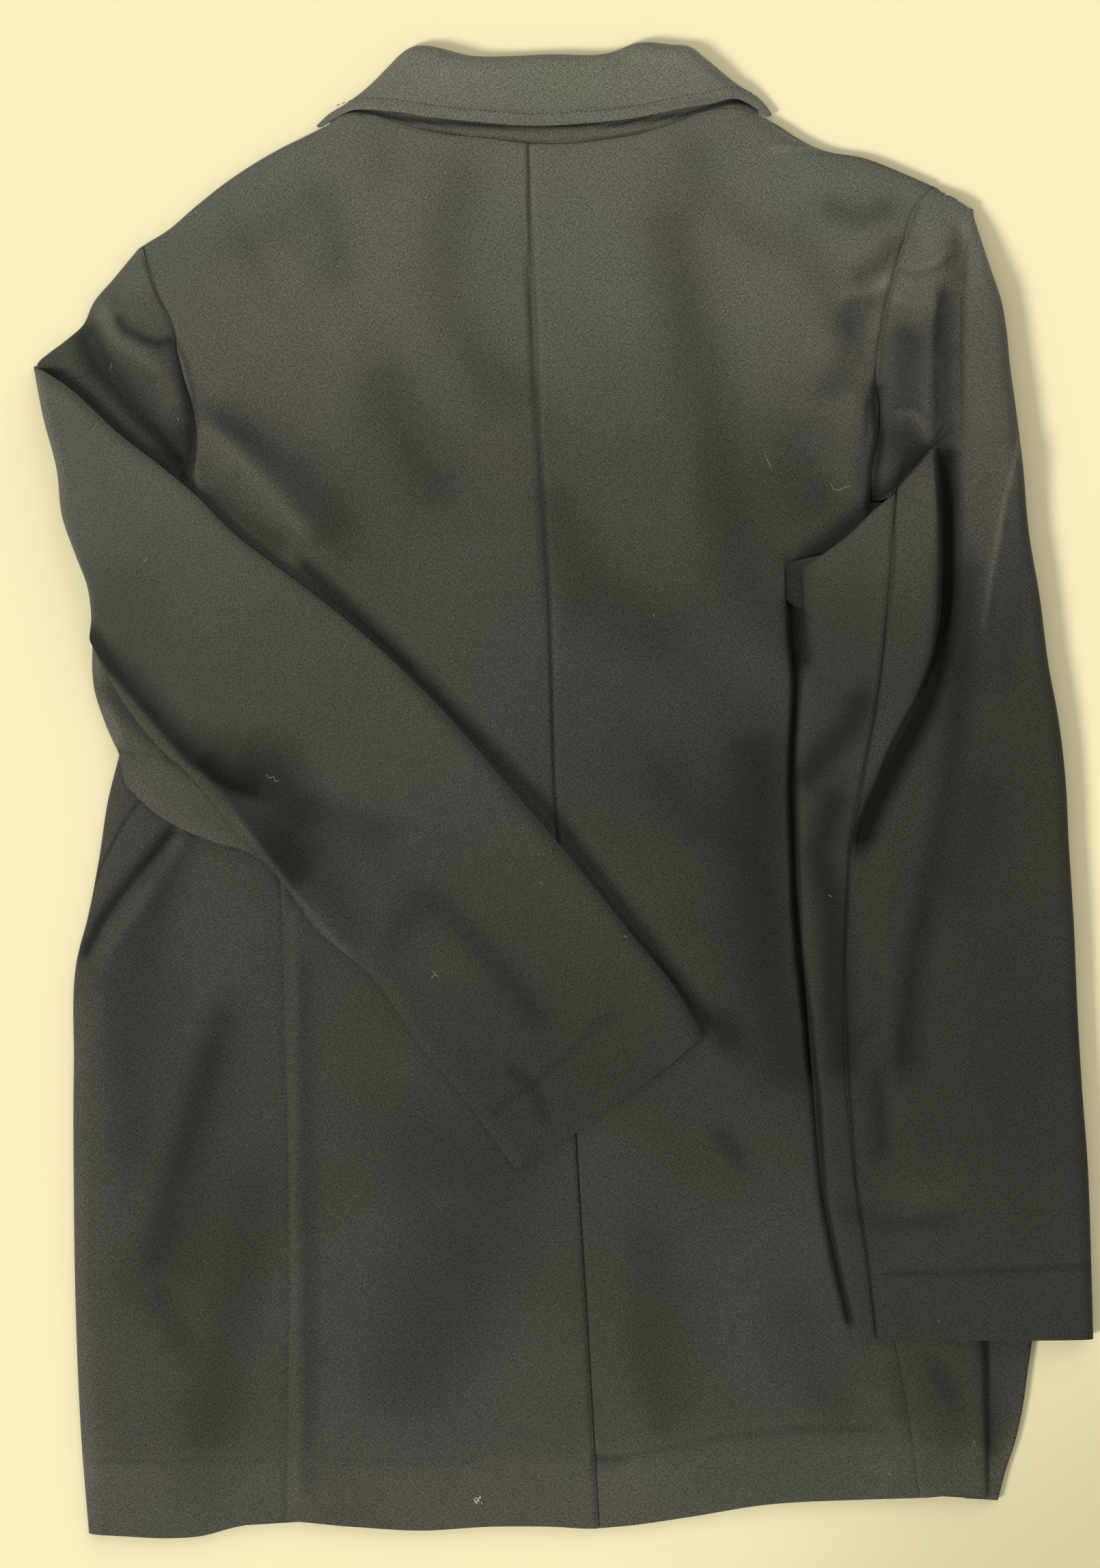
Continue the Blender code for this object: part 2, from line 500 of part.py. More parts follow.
def front_edge(y, side):
    """The front's inner edge: the centre front, and the roll line above the top of the closure."""
    away = np.where(y > ROLL_LINE[0][1], LINE["roll"].x_at(y), ROLL_LINE[0][0])
    return LINE["centre"].x_at(y) + side * away


def front_top(x):
    left, right = LINE["top_left"].y_at(x), LINE["top_right"].y_at(x)
    return np.where(x < CENTRE_BACK[-1][0], left, right) - 2.5


def front_left():
    clear = CLOTH + 4 * SEAM_GAP
    edge = LINE["front_left_edge"].x_at
    plan = body_plan([lambda y: edge(y) + clear, lambda y: front_edge(y, -1)], np.linspace(0, 1, 8), BODY_ROWS,
                     front_top)
    cloth_wall("front_left", plan, front_height(plan[..., 0], plan[..., 1]))


def pleat_section(turn, room):
    """Distances inwards and upwards along an edge strip that turns through this angle, then runs straight."""
    steps = 6
    arc = math.pi * PLEAT_RISE / 2
    middles = turn * (np.arange(steps) + 0.5) / steps
    out = np.concatenate([[0], np.cumsum(np.cos(middles)) * arc / steps])
    up = np.concatenate([[0], np.cumsum(np.sin(middles)) * arc / steps])
    straight = np.array([0.5, 1.0]) * room
    out = np.concatenate([out, out[-1] + math.cos(turn) * straight])
    up = np.concatenate([up, up[-1] + math.sin(turn) * straight])
    return out.max() - out, up


def front_right():
    """The right front, whose spare width by the side seam lies in a pleat that shows past the side fold."""
    edge = LINE["front_right_edge"].x_at
    flat = body_plan([lambda y: front_edge(y, 1), lambda y: edge(y) - CLOTH / 2], np.linspace(0, 1, 7), BODY_ROWS,
                     front_top)
    plan, height = [], []
    for row in flat:
        turn = math.pi * float(smooth((UNDERARM + 30 - row[-1, 1]) / 60))
        room = max(float(row[-1, 0] - LINE["right_side"].x_at(row[-1, 1])) + 10, 3.0)
        room = 3.0 + (room - 3.0) * float(smooth((UNDERARM - 20 - row[-1, 1]) / 60))
        inwards, up = pleat_section(turn, room)
        towards = (row[-2] - row[-1]) / np.linalg.norm(row[-2] - row[-1])
        flat_part = row[:-1]
        last_clear = row[-1] + towards * (inwards[0] + 4)
        keep = flat_part[:, 0] < last_clear[0]
        flat_part = np.where(keep[:, None], flat_part, last_clear)
        plan.append(np.concatenate([flat_part, row[-1] + towards * inwards[:, None]]))
        flat_up = front_height(flat_part[:, 0], flat_part[:, 1])
        height.append(np.concatenate([flat_up, FRONT_LEVEL + up]))
    cloth_wall("front_right", np.array(plan), np.array(height))


def lapels():
    """The turned-back upper fronts, which lie between the fronts and the surface."""
    shares = np.linspace(0.02, 0.9, 9)
    for name, side in (("lapel_left", -1), ("lapel_right", 1)):
        roll, edge = LINE["roll"].at(shares), LINE["lapel_edge"].at(shares)
        plan = roll[:, None] + (edge - roll)[:, None] * np.linspace(0, 1, 5)[None, :, None]
        plan[..., 0] = LINE["centre"].x_at(plan[..., 1]) + side * plan[..., 0]
        cloth_wall(name, plan, np.full(plan.shape[:2], FRONT_LEVEL))


def collar_fall():
    """The turned-down collar, rounding down to the surface along the outline."""
    shares = np.linspace(0.03, 0.975, 25)
    rows = stations(3, 37, end_round=COLLAR_ROUND)
    edge, outline = LINE["fall_edge"].at(shares), LINE["collar_outline"].at(shares)
    plan = edge[:, None] + (outline - edge)[:, None] * rows[None, :, None]
    plan = inset(plan, end=CLOTH / 2)
    ends = smooth((np.abs(shares - 0.5) - 0.3) / 0.17)
    level = COLLAR_LEVEL + (COLLAR_END_LEVEL - COLLAR_LEVEL) * ends
    reach = np.minimum(COLLAR_ROUND, row_distance(plan)[:, -1:] * 0.7)
    foot = 0.2 + 2.4 * ends[:, None] ** 4
    round_down = rounded(row_distance(plan, from_end=True), reach)
    cloth_wall("collar_fall", plan, foot + (level[:, None] - foot) * round_down)


def collar_stand():
    """The stand, from the neck seam up under the fall."""
    row = np.concatenate([back_plan(-1)[-1], back_plan(1)[-1][1:]])
    within = row[(row[:, 0] > STAND_LEFT + 4) & (row[:, 0] < STAND_RIGHT - 4), 0]
    x = np.concatenate([[STAND_LEFT], within, [STAND_RIGHT]])
    seam = np.interp(x, row[:, 0], row[:, 1]) + SEAM_GAP
    rows = np.array([0, 0.22, 0.45, 0.7, 1.0])
    inside = np.maximum(LINE["collar_outline"].y_at(x) - 6, seam + 1.5)
    y = seam[:, None] + (inside - seam)[:, None] * rows
    plan = np.stack([np.broadcast_to(x[:, None], y.shape), y], 2)
    start = back_top_height(x, seam)[:, None]
    height = start + (FRONT_LEVEL + 0.6 - start) * rows ** 1.3
    cloth_wall("collar_stand", plan, height)


def low_right(x, y):
    """Mid-height of the right sleeve's lower layer."""
    return rest_height(x, y, LAYER_GAP) + CLOTH / 2


def head_level(x, y):
    """Mid-height of the right sleeve's head beside the armhole, where the diagonal fold lies on it."""
    from_seam = x - LINE["back_right_edge"].x_at(y)
    start = body_height(x - np.maximum(from_seam, 0), y)
    dip = 1.6 * smooth((y - 125) / 15) * smooth((215 - y) / 20) * (1 - smooth(from_seam / 16))
    return start + 0.10 * np.maximum(from_seam, 0) - dip


def right_top(x, y):
    """Mid-height of the right sleeve's top layer, with the deep valley beside its flap."""
    inner = np.where(y > 113, LINE["back_right_edge"].x_at(y), LINE["right_inner"].x_at(y))
    inner = np.where((y > 100) & (y < 150), np.interp(y, [100, 150], [124, 158]), inner)
    outer = LINE["right_outer"].x_at(y)
    across = np.clip((x - inner) / (outer - inner), 0, 1)
    loft = Line(RIGHT_LOFT).y_at(across) * table_at(RIGHT_FULLNESS, y)
    ground = 7.4 - 2.4 * smooth((x - LINE["right_reach"].x_at(y)) / 40) - 1.8 * smooth((y - 275) / 28)
    into = smooth((x - LINE["flap"].x_at(y)) / 3) * (1 - smooth((x - LINE["valley_edge"].x_at(y)) / 9))
    top = ground + loft - table_at(VALLEY_DEPTH, y) * into + fold_height(x, y, RIGHT_FOLDS)
    return np.maximum(top, low_right(x, y) + CLOTH + LAYER_GAP)


def under_sleeve_right():
    """The under sleeve, from the diagonal fold at its top to the cuff."""
    us = stations(4, 34, start_round=SLEEVE_ROUND)
    vs = HIND_ROWS
    cuff, top = Line([(149, -283), (161, -283)]), Line(DIAGONAL[:4] + [(171, 152)])
    plan = inset(patch(cuff, top, LINE["right_inner"], LINE["hind_seam"], us, vs), start=CLOTH / 2)
    plan = plan - [SEAM_GAP / 2, 0]
    x, y = plan[..., 0], plan[..., 1]
    crown = right_top(x, y)
    step = rounded(column_distance(plan, from_end=True), SLEEVE_ROUND * 0.7)
    round_down = rounded(row_distance(plan), SLEEVE_ROUND) * step
    low = rest_height(x, y, TIP_GAP)
    over_low = low_right(x, y) + CLOTH / 2 + TIP_GAP
    over_low = over_low + 2 * TIP_GAP * smooth((y - 60) / 14)
    low = low + (np.maximum(over_low, head_level(x, y) + CLOTH + SEAM_GAP) - low) * smooth((y - 44) / 14)
    cloth_wall("under_sleeve_right", plan, low + (crown - low) * round_down)


def midpoints(values):
    """The values with the midpoint of each step added, so that a finer edge keeps a coarser edge's chords."""
    fine = np.repeat(values, 2, axis=0)[:-1].astype(float)
    fine[1::2] = (values[:-1] + values[1:]) / 2
    return fine


def head_rows():
    """Row ends of the right sleeve's head: on the armhole, as on the back, and on the seam at its right."""
    armhole = back_plan(1)[len(LOWER_ROWS) - 1:, -1] + [SEAM_GAP, 0]
    share = (armhole[:, 1] - UNDERARM) / (armhole[-1, 1] - UNDERARM)
    seam_y = HEAD_FOOT_Y + (HIND_SEAM_TOP[-1][1] - HEAD_FOOT_Y) * share
    seam = np.stack([LINE["hind_seam_top"].x_at(seam_y), seam_y], 1)
    return armhole, seam


def cap_least(x):
    """Mid-height of the right sleeve's top layer at its upper outline."""
    return SHOULDER_LEVEL + 1.9 * smooth((x - 191) / 10)


def sleeve_head_right():
    """The right sleeve by the armhole, which runs in under the diagonal fold."""
    armhole, seam = head_rows()
    even = np.linspace(0, 1, len(HEAD_FOOT))
    shares = even + (HEAD_SHARES - even) * np.clip(1 - (np.arange(len(armhole)) - 1) / 3, 0, 1)[:, None]
    plan = armhole[:, None] + (seam - [SEAM_GAP / 2, 0] - armhole)[:, None] * shares[..., None]
    plan[-1, :, 1] = LINE["cap_right"].y_at(plan[-1, :, 0]) - CLOTH / 2
    plan[0] = HEAD_FOOT
    x, y = plan[..., 0], plan[..., 1]
    height = right_top(x, y)
    level = head_level(x, y)
    near = 1 - smooth((x - LINE["back_right_edge"].x_at(y) - 2) / 24)
    height = height + (level - height) * near
    below = smooth((LINE["diagonal"].y_at(np.minimum(x, 187)) + 12 - y) / 12) * smooth((187 - x) / 14)
    height = height + (np.minimum(height, level + 0.6) - height) * below
    top = rounded(LINE["cap_right"].y_at(x) - y - CLOTH / 2, SHOULDER_ROUND)
    upright = np.zeros(x.shape, bool)
    upright[:, -1] = True
    least = cap_least(x)
    cloth_wall("sleeve_head_right", plan, least + (height - least) * top, upright)


def upper_sleeve_right():
    """The upper sleeve: from the hind seam across the valley, round the outer fold and back below."""
    hind = LINE["hind_seam"].at(HIND_ROWS)
    strip = np.array([(173.5, 158.5), (178, 166), (182.5, 170.5)])
    _, head = head_rows()
    starts = np.concatenate([hind, strip, head])
    plan, height = [], []
    low_edge = np.array(LOW_LAYER_EDGE, float)
    for start in starts:
        y = float(start[1])
        first = float(start[0]) + SEAM_GAP / 2
        outer = float(LINE["right_outer"].x_at(y)) - CLOTH / 2
        at_edge = float(right_top(outer - 3, y))
        edge_level = float(cap_least(outer - 3))
        edge_level += (at_edge - edge_level) * float(rounded(max(LINE["cap_right"].y_at(211) - y, 0), SHOULDER_ROUND))
        half = (edge_level - CLOTH / 2) / 2
        bend = min(SLEEVE_ROUND, (outer - first) * 0.45, max(1.1 * half, 3 * half - 4))
        last = outer - bend
        least = 2 + 2 * float(smooth((y - HEAD_FOOT_Y) / 10))
        flap = min(max(float(LINE["flap"].x_at(y)), first + least), first + (last - first) * 0.6)
        far = min(max(float(LINE["valley_edge"].x_at(y)), flap + 6.5), first + (last - first) * 0.8)
        tops = np.concatenate([first + (flap - first) * np.array([0, 0.3, 0.65, 1]),
                               [flap + (far - flap) * 0.42, far],
                               far + (last - far) * np.array([0.2, 0.45, 0.72, 1.0])])
        top_z = right_top(tops, np.full(tops.shape, y))
        if 152 < y < HEAD_FOOT_Y:
            from_fold = (tops - float(LINE["diagonal"].x_at(y))) * 0.7
            foot = head_level(tops, np.full(tops.shape, y)) + CLOTH + SEAM_GAP
            share = rounded(from_fold + 0.4, 6)
            top_z = np.where(tops < flap + 1, foot + (top_z - foot) * share, top_z)
        to_top = np.maximum(LINE["cap_right"].y_at(np.clip(tops, 190, 211)) - y - CLOTH / 2, 0)
        least_z = cap_least(tops)
        top_z = np.minimum(top_z, least_z + (top_z - least_z) * rounded(to_top, SHOULDER_ROUND))
        inner = float(np.interp(y, low_edge[:, 1], low_edge[:, 0]))
        inner = min(inner, last - 6)
        lows = last - (last - inner) * np.array([0, 0.1, 0.24, 0.38, 0.55, 0.78, 1.0])
        low_z = low_right(lows, np.full(lows.shape, y))
        angles = np.radians([52, 18, -18, -52])
        middle, half = (top_z[-1] + low_z[0]) / 2, (top_z[-1] - low_z[0]) / 2
        xs = np.concatenate([tops, last + bend * np.cos(angles), lows])
        ys = y - 3.5 * smooth((xs - first) / max(outer - first, 1)) * smooth((y - 280) / 22)
        plan.append(np.stack([xs, ys], 1))
        height.append(np.concatenate([top_z, middle + half * np.sin(angles), low_z]))
    upright = np.zeros((len(plan), len(plan[0])), bool)
    upright[-len(head):, 0] = True
    cloth_wall("upper_sleeve_right", np.array(plan), np.array(height), upright)


def lobe_level(x, y):
    return np.maximum(body_height(x, y), BACK_LEVEL) + CLOTH + LAYER_GAP


def upper_sleeve_left():
    """The layer that shows: from the fold at the outline across the back to the cuff."""
    us = stations(8, 125, start_round=SLEEVE_ROUND, end_round=SLEEVE_ROUND)
    vs = stations(18, 440, start_round=SLEEVE_ROUND)
    plan = patch(LINE["left_fold"], LINE["left_cuff"], LINE["left_lower"], LINE["left_crease"], us, vs)
    plan = inset(plan, start=CLOTH / 2, end=CLOTH / 2)
    x, y = plan[..., 0], plan[..., 1]
    from_fold, from_cuff = column_distance(plan), column_distance(plan, from_end=True)
    across = row_distance(plan) / row_distance(plan)[:, -1:]
    full = 0.75 + 0.25 * smooth(from_cuff / 150) + 0.35 * (1 - smooth(from_fold / 110))
    ground = BACK_LEVEL + CLOTH / 2
    crown = ground + Line(LEFT_LOFT).y_at(across) * full + fold_height(x, y, LEFT_FOLDS)
    on_cap = smooth((from_fold - 1) / 8)
    low = np.where(y > 60, 0.2 + (CAP_HIDDEN_LEVEL + CLOTH / 2 + TIP_GAP - 0.2) * on_cap, rest_height(x, y, TIP_GAP))
    on_lobe = smooth((y + 66) / 12) * smooth((90 - y) / 12) * (1 - smooth((across - 0.1) / 0.3))
    low = low + (lobe_level(x, y) + CLOTH / 2 + TIP_GAP - low) * on_lobe
    sides = rounded(row_distance(plan), SLEEVE_ROUND) * rounded(row_distance(plan, from_end=True), SLEEVE_ROUND)
    crown = np.maximum(crown, lobe_level(x, y) + CLOTH + TIP_GAP + SEAM_GAP)
    cloth_wall("upper_sleeve_left", plan, low + (crown - low) * sides * rounded(from_fold, SLEEVE_ROUND))


def under_sleeve_left():
    """The layer below, which shows in the lobe past the lower fold."""
    us = stations(5, 110, start_round=SLEEVE_ROUND)
    vs = np.linspace(0, 1, 19)
    lower = Line(LOBE[:-1] + UNDER_LOWER)
    upper = Line([(-186, 144)] + LEFT_CREASE[5:])
    plan = patch(LINE["under_start"], LINE["left_cuff"], lower, upper, us, vs)
    plan = inset(plan, start=CLOTH / 2, end=CLOTH + 5 * LAYER_GAP)
    x, y = plan[..., 0], plan[..., 1]
    height = lobe_level(x, y)
    foot = np.where(x < LINE["left_side"].x_at(y) + 1, 0.9, BACK_LEVEL + CLOTH + TIP_GAP)
    in_lobe = smooth((y + 52) / 16)
    round_down = 1 - in_lobe * (1 - rounded(row_distance(plan), SLEEVE_ROUND))
    cloth_wall("under_sleeve_left", plan, foot + (height - foot) * round_down)


def sleeve_head_left():
    """The folded layers by the left armhole, one rounded solid whose top is the sleeve's cap."""
    armhole = back_plan(-1)[len(LOWER_ROWS) - 1:, 0] - [SEAM_GAP, 0]
    armhole[0, 1] = CAP_FOOT[-1][1]
    share = midpoints(midpoints((armhole[:, 1] - armhole[0, 1]) / (armhole[-1, 1] - armhole[0, 1])))
    us = np.concatenate([[0, 0.03, 0.08], np.linspace(0.13, 1, 20)])
    plan = patch(LINE["cap_foot"], Line([(-220, 277.5), (-217.2, 279.7)]), LINE["cap_left"], Line(armhole), us, share)
    plan[:, -1] = midpoints(midpoints(armhole))
    x, y = plan[..., 0], plan[..., 1]
    across = row_distance(plan)
    top = body_height(x, y) + CLOTH / 2 + fold_height(x, y, CAP_FOLDS)
    past_crease = np.maximum(y - LINE["left_crease"].y_at(x) - 1, 0)
    top = np.minimum(top, CAP_HIDDEN_LEVEL + 0.22 * past_crease)
    round_down = rounded(across + 0.4, 12) * rounded(column_distance(plan) + 2, 9)
    top = 1.2 + (top - 1.2) * round_down
    upper = np.concatenate([plan, top[..., None]], axis=2)
    lower = np.concatenate([plan, 0 * top[..., None]], axis=2)
    closed_mesh("sleeve_head_left", upper, lower)


def main():
    for leftover in list(bpy.data.objects):
        bpy.data.objects.remove(leftover)
    back_panels()
    vent_underlap()
    side_left()
    side_right()
    front_left()
    front_right()
    lapels()
    collar_stand()
    collar_fall()
    under_sleeve_right()
    sleeve_head_right()
    upper_sleeve_right()
    under_sleeve_left()
    upper_sleeve_left()
    sleeve_head_left()


main()
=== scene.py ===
import json
import math

import bmesh
import bpy
import numpy as np
from bpy.props import FloatProperty, PointerProperty
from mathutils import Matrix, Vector
from mathutils.bvhtree import BVHTree

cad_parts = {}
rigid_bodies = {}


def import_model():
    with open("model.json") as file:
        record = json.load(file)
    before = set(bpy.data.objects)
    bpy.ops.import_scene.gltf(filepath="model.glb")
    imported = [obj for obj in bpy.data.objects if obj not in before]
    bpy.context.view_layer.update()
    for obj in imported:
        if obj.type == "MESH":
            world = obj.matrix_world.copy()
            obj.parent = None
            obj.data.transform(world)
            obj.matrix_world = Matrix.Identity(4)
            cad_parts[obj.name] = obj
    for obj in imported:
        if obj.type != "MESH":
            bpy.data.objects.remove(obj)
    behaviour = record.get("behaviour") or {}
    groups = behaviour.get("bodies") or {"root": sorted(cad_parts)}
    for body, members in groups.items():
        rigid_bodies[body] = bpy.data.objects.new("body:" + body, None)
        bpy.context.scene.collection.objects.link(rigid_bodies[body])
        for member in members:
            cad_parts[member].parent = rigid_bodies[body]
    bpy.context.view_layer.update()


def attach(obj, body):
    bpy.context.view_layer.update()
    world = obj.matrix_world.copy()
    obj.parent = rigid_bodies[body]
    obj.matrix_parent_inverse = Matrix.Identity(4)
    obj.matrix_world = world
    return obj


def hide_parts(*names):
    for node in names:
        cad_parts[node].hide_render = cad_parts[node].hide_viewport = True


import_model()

bl_info = {
    "name": "Laid-out blazer",
    "version": (1, 0, 0),
    "blender": (4, 5, 0),
    "location": "View3D > Sidebar > Blazer",
    "description": "Dresses the blazer that lies flat in woven cloth, with its seams, creases and lint",
    "category": "Object",
}

# Sizes and places are in millimetres: X to the right and Y towards the collar. MM turns them into metres.
MM = 0.001

# The cloth and the gaps between its pieces.
CLOTH = 1.6
SEAM_GAP = 0.3
LAYER_GAP = 0.9
TIP_GAP = 0.8

# Mid-heights of the layers, and how far their folded edges round down.
FRONT_LEVEL = 0.8
OVER_LAPEL_LEVEL = 3.0
BACK_LEVEL = 6.4
HEM_LEVEL = 5.0
HEM_EASE = 70.0
PLEAT_LIFT = 1.9
SHOULDER_LEVEL = 2.8
SHOULDER_ROUND = 12.0
SIDE_ROUND = 8.0
SIDE_LEFT_WIDTH = 108.0
SIDE_RIGHT_WIDTH = 60.0
FOLD_FOOT = 0.2
COLLAR_ROUND = 8.0
SLEEVE_ROUND = 8.0
COLLAR_LEVEL = 9.0
COLLAR_END_LEVEL = 6.6
COLLAR_END_LIFT = 2.4
COLLAR_DEPTH = 37.0
UNDERARM = 148.0
CAP_HIDDEN_LEVEL = 8.2
NECK_LEFT = -118.0
NECK_RIGHT = 94.0
NECK_FADE = 12.0
STAND_LEFT = -120.0
STAND_RIGHT = 100.0
PLEAT_RISE = 2.2
PLEAT_STEPS = 12
PLEAT_LEAST = 3.0
PLEAT_UNDER = 10.0
PLEAT_FADE = 60.0
FRONT_TOP_INSET = 2.5
PLEAT_LENGTH = 120.0
PLEAT_REACH = 70.0
VENT_TOP = -140.0
VENT_WIDTH = 35.0
# How a sleeve's lower face comes down past the body's right side, and past the pleat.
REST_EASE = 0.4
SIDE_REST = 7.0
SIDE_DROP = 26.0
PLEAT_REST = 4.0
PLEAT_DROP = 16.0
# By the underarm it stays up over a wider stretch.
UNDERARM_FOOT = 95.0
UNDERARM_HEAD = 170.0
UNDERARM_FADE = 20.0
UNDERARM_SPREAD = 14.0
HEAD_FOOT_Y = 175.0

# Outlines and seams of the body, from the hem up.
LEFT_SIDE = [(-245, -386), (-249, -337), (-252, -270), (-253, -211), (-253, -143), (-251, -86),
             (-246, -67), (-240, -36), (-235, -4), (-230, 16), (-224, 45), (-214, 90), (-203, 148)]
RIGHT_SIDE = [(218, -364), (218, -330), (217, -284), (217, -227), (212, -157), (203, -86),
              (192, -15), (183, 55), (173, 110), (166, 148)]
RIGHT_REACH = [(224, -368), (228, -352), (233, -337), (237, -319), (240, -297), (242, -283),
               (242, -245), (238, -192), (228, -121), (215, -51), (199, 20), (186, 73), (170, 148)]
HEM = [(-246, -384), (-228, -385), (-205, -386), (-188, -385), (-168, -380), (-150, -377.5),
       (-110, -380), (-74, -382), (-37, -380), (-7, -380), (17, -381), (29, -380), (65, -375),
       (102, -369), (156, -366), (184, -365), (213, -364), (225, -367)]
CENTRE_BACK = [(18, -381), (12, -277), (6, -178), (2, -100), (-4, -19), (-6, 91), (-11, 182),
               (-14, 256), (-18, 334)]
PRINCESS_LEFT = [(-143, -379), (-142, -310), (-141, -247), (-142, -190), (-144, -110), (-146, -49),
                 (-154, 2), (-167, 55), (-182, 105), (-190, 148)]
PRINCESS_RIGHT = [(184, -365), (181, -342), (176, -309), (171, -284), (156, -192), (148, -104),
                  (146, -33), (150, 27), (156, 91), (158, 148)]
ARMHOLE_LEFT = [(-190, 148), (-190, 165), (-189, 182), (-191, 195), (-196, 212), (-199, 226),
                (-200, 235), (-211, 260), (-217, 280)]
FRONT_UNDERARM = [(-205, 128), (-192, 150), (-189.5, 165)]
ARMHOLE_RIGHT = [(158, 148), (158, 165), (161, 180), (162, 194), (161, 212), (162, 227),
                 (165, 243), (168, 256), (172, 271), (176, 285), (181, 300), (190, 311)]
TOP_LEFT = [(-217, 280), (-204, 288), (-190, 300), (-175, 312), (-150, 328), (-130, 338),
            (-120, 343), (-113, 347), (-105, 348), (-99, 348), (-89, 345), (-76, 341), (-61, 338),
            (-40, 336), (-18, 333)]
TOP_RIGHT = [(-18, 333), (2, 333), (20, 335), (38, 338), (52, 342), (63, 346), (74, 350),
             (88, 351), (109, 343), (120, 336), (132, 330), (156, 325), (174, 318), (190, 311)]
RIDGE_RIGHT = [(148, -372), (137, -260), (127, -174), (123.5, -143), (119, -89), (116, -62), (113.5, -16),
               (113.5, 1), (115, 26), (116.5, 50), (114, 79), (112, 114), (122, 150), (134, 200),
               (146, 260), (158, 324)]

# Collar and lapels.
COLLAR_OUTLINE = [(-130, 340), (-121, 349), (-113, 354), (-99, 365), (-92, 372), (-80, 383),
                  (-45, 379), (-7, 380), (25, 381), (39, 386), (56, 385), (65, 384), (73, 378),
                  (89, 365), (102, 356), (110, 345)]
FALL_EDGE = [(-127, 340.5), (-118, 346.5), (-110, 350), (-95, 350), (-85, 349), (-72, 347), (-44, 344),
             (-16, 342), (7, 343), (29, 345), (47, 348), (61, 351), (74, 353), (90, 356),
             (98, 352.5), (107, 345.5)]
ROLL_LINE = [(2, -15), (20, 90), (41, 210), (58, 318)]
LAPEL_EDGE = [(6, -12), (42, 60), (84, 150), (112, 228), (62, 300)]
# How far from the centre back the fronts are lifted by the lapels, by Y, and the slope down beside them.
LAPEL_REACH = [(-60, 0), (-20, 10), (60, 46), (150, 88), (228, 116), (300, 66), (330, 60)]
LAPEL_MARGIN = 36.0
LAPEL_SLOPE = 24.0
LAPEL_FOOT = -70.0
LAPEL_FOOT_LENGTH = 30.0

# Right sleeve: its inner fold, hind seam, raised flap, valley, outer fold and top.
RIGHT_INNER = [(149, -283), (143, -254), (135, -216), (128, -143), (124, -89), (121, -51), (120, 7),
               (121, 32), (124, 69), (124, 94), (123, 113)]
HIND_SEAM = [(161, -283), (155, -238), (151, -211), (147, -174), (144, -134), (144, -98), (145, -62),
             (147, -27), (151, -3), (156, 20), (161, 45), (164, 70), (167, 108), (169, 129), (171, 152)]
HIND_SEAM_TOP = [(187, 175), (196, 182), (201.5, 191), (204, 206), (204, 226), (204.5, 261), (204.5, 284),
                 (203.5, 303.2)]
RIGHT_OUTER = [(273, -284), (272, -247), (270, -192), (267, -152), (265, -118), (263, -71), (260, -22),
               (259, 0), (255, 36), (250, 63), (245, 101), (240, 130), (236, 172), (233, 196),
               (230, 218), (228, 238), (226, 250), (220, 269), (215, 285), (211.5, 300)]
HEAD_FOOT = [(158.3, 149), (161.2, 149.2), (164, 149.5), (167.4, 150.8), (170.9, 153.6),
             (173.4, 158.6), (176, 163.2), (179.2, 167.6), (183.3, 171.8), (186.95, 175.4)]
HEAD_FOOT_SHARE = 0.13
HEAD_SHARES = (0, 0.07, 0.15, 0.23, 0.31, 0.39, 0.47, 0.56, 0.70, 1)
CAP_RIGHT = [(190, 311), (199, 306), (203.5, 304), (210, 301.5), (211.5, 300)]
DIAGONAL = [(123, 113), (136, 122), (148, 131), (160, 143), (169, 152), (178, 166), (187, 175)]
FLAP = [(148, -36), (151, -16), (160, 6), (166, 22), (172, 34), (180, 49), (186, 64), (189, 78),
        (189, 174), (188.5, 184), (188, 216), (189, 241), (193, 256), (196, 276), (198, 300)]
VALLEY_EDGE = [(153, -36), (157, -23), (165, -3), (172, 14), (181, 34), (189, 52), (194, 69),
               (198.5, 106), (199, 131), (199, 181), (202, 226), (209, 300)]
LOW_LAYER_EDGE = [(154, -283), (136, -143), (129, -51), (129, 7), (130, 72), (129, 88), (115, 97),
                  (114.5, 117), (152, 125), (174, 134), (185, 143), (190, 155), (197, 200), (200, 300)]

# Left sleeve: the fold at the outline, upper crease, cuff, lower fold, the lobe below it and the cap.
LEFT_FOLD = [(-243, 76), (-243, 91), (-245, 105), (-251, 121), (-258, 141), (-261, 166), (-268, 193),
             (-273, 219)]
LEFT_CREASE = [(-273, 219), (-255, 207), (-230, 184), (-208, 167), (-191, 153), (-171, 133),
               (-141, 110), (-110, 86), (-70, 49), (-29, 3), (11, -44), (38, -78), (56, -100),
               (72, -127)]
LEFT_CUFF = [(-26, -195), (5, -176.5), (28, -160.5), (48, -146.5), (72, -127)]
LEFT_LOWER = [(-243, 76), (-222, 39), (-210, 24), (-190, 5), (-168, -22), (-142, -51), (-128, -71),
              (-99, -96), (-74, -132), (-50, -161), (-25, -195)]
LOBE = [(-243, 74), (-243, 59), (-242, 51), (-238, 38), (-234, 28), (-229, 17), (-226, 3),
        (-219, -5), (-210, -13), (-194, -22), (-184, -26), (-160, -34), (-144, -50)]
UNDER_LOWER = [(-148, -43), (-138, -53), (-124.5, -68), (-95.5, -93), (-70.5, -129),
               (-46.5, -158), (-21, -193)]
UNDER_START = [(-243, 74), (-232, 86), (-218, 99), (-206, 122), (-199, 140), (-186, 144)]
CAP_LEFT = [(-238.5, 94), (-239, 105), (-245, 122), (-251.5, 145), (-255, 168), (-260, 190), (-266, 207),
            (-271, 219.5), (-265, 225), (-257, 231), (-247, 240.5), (-242, 251), (-232, 263), (-220, 277.5)]
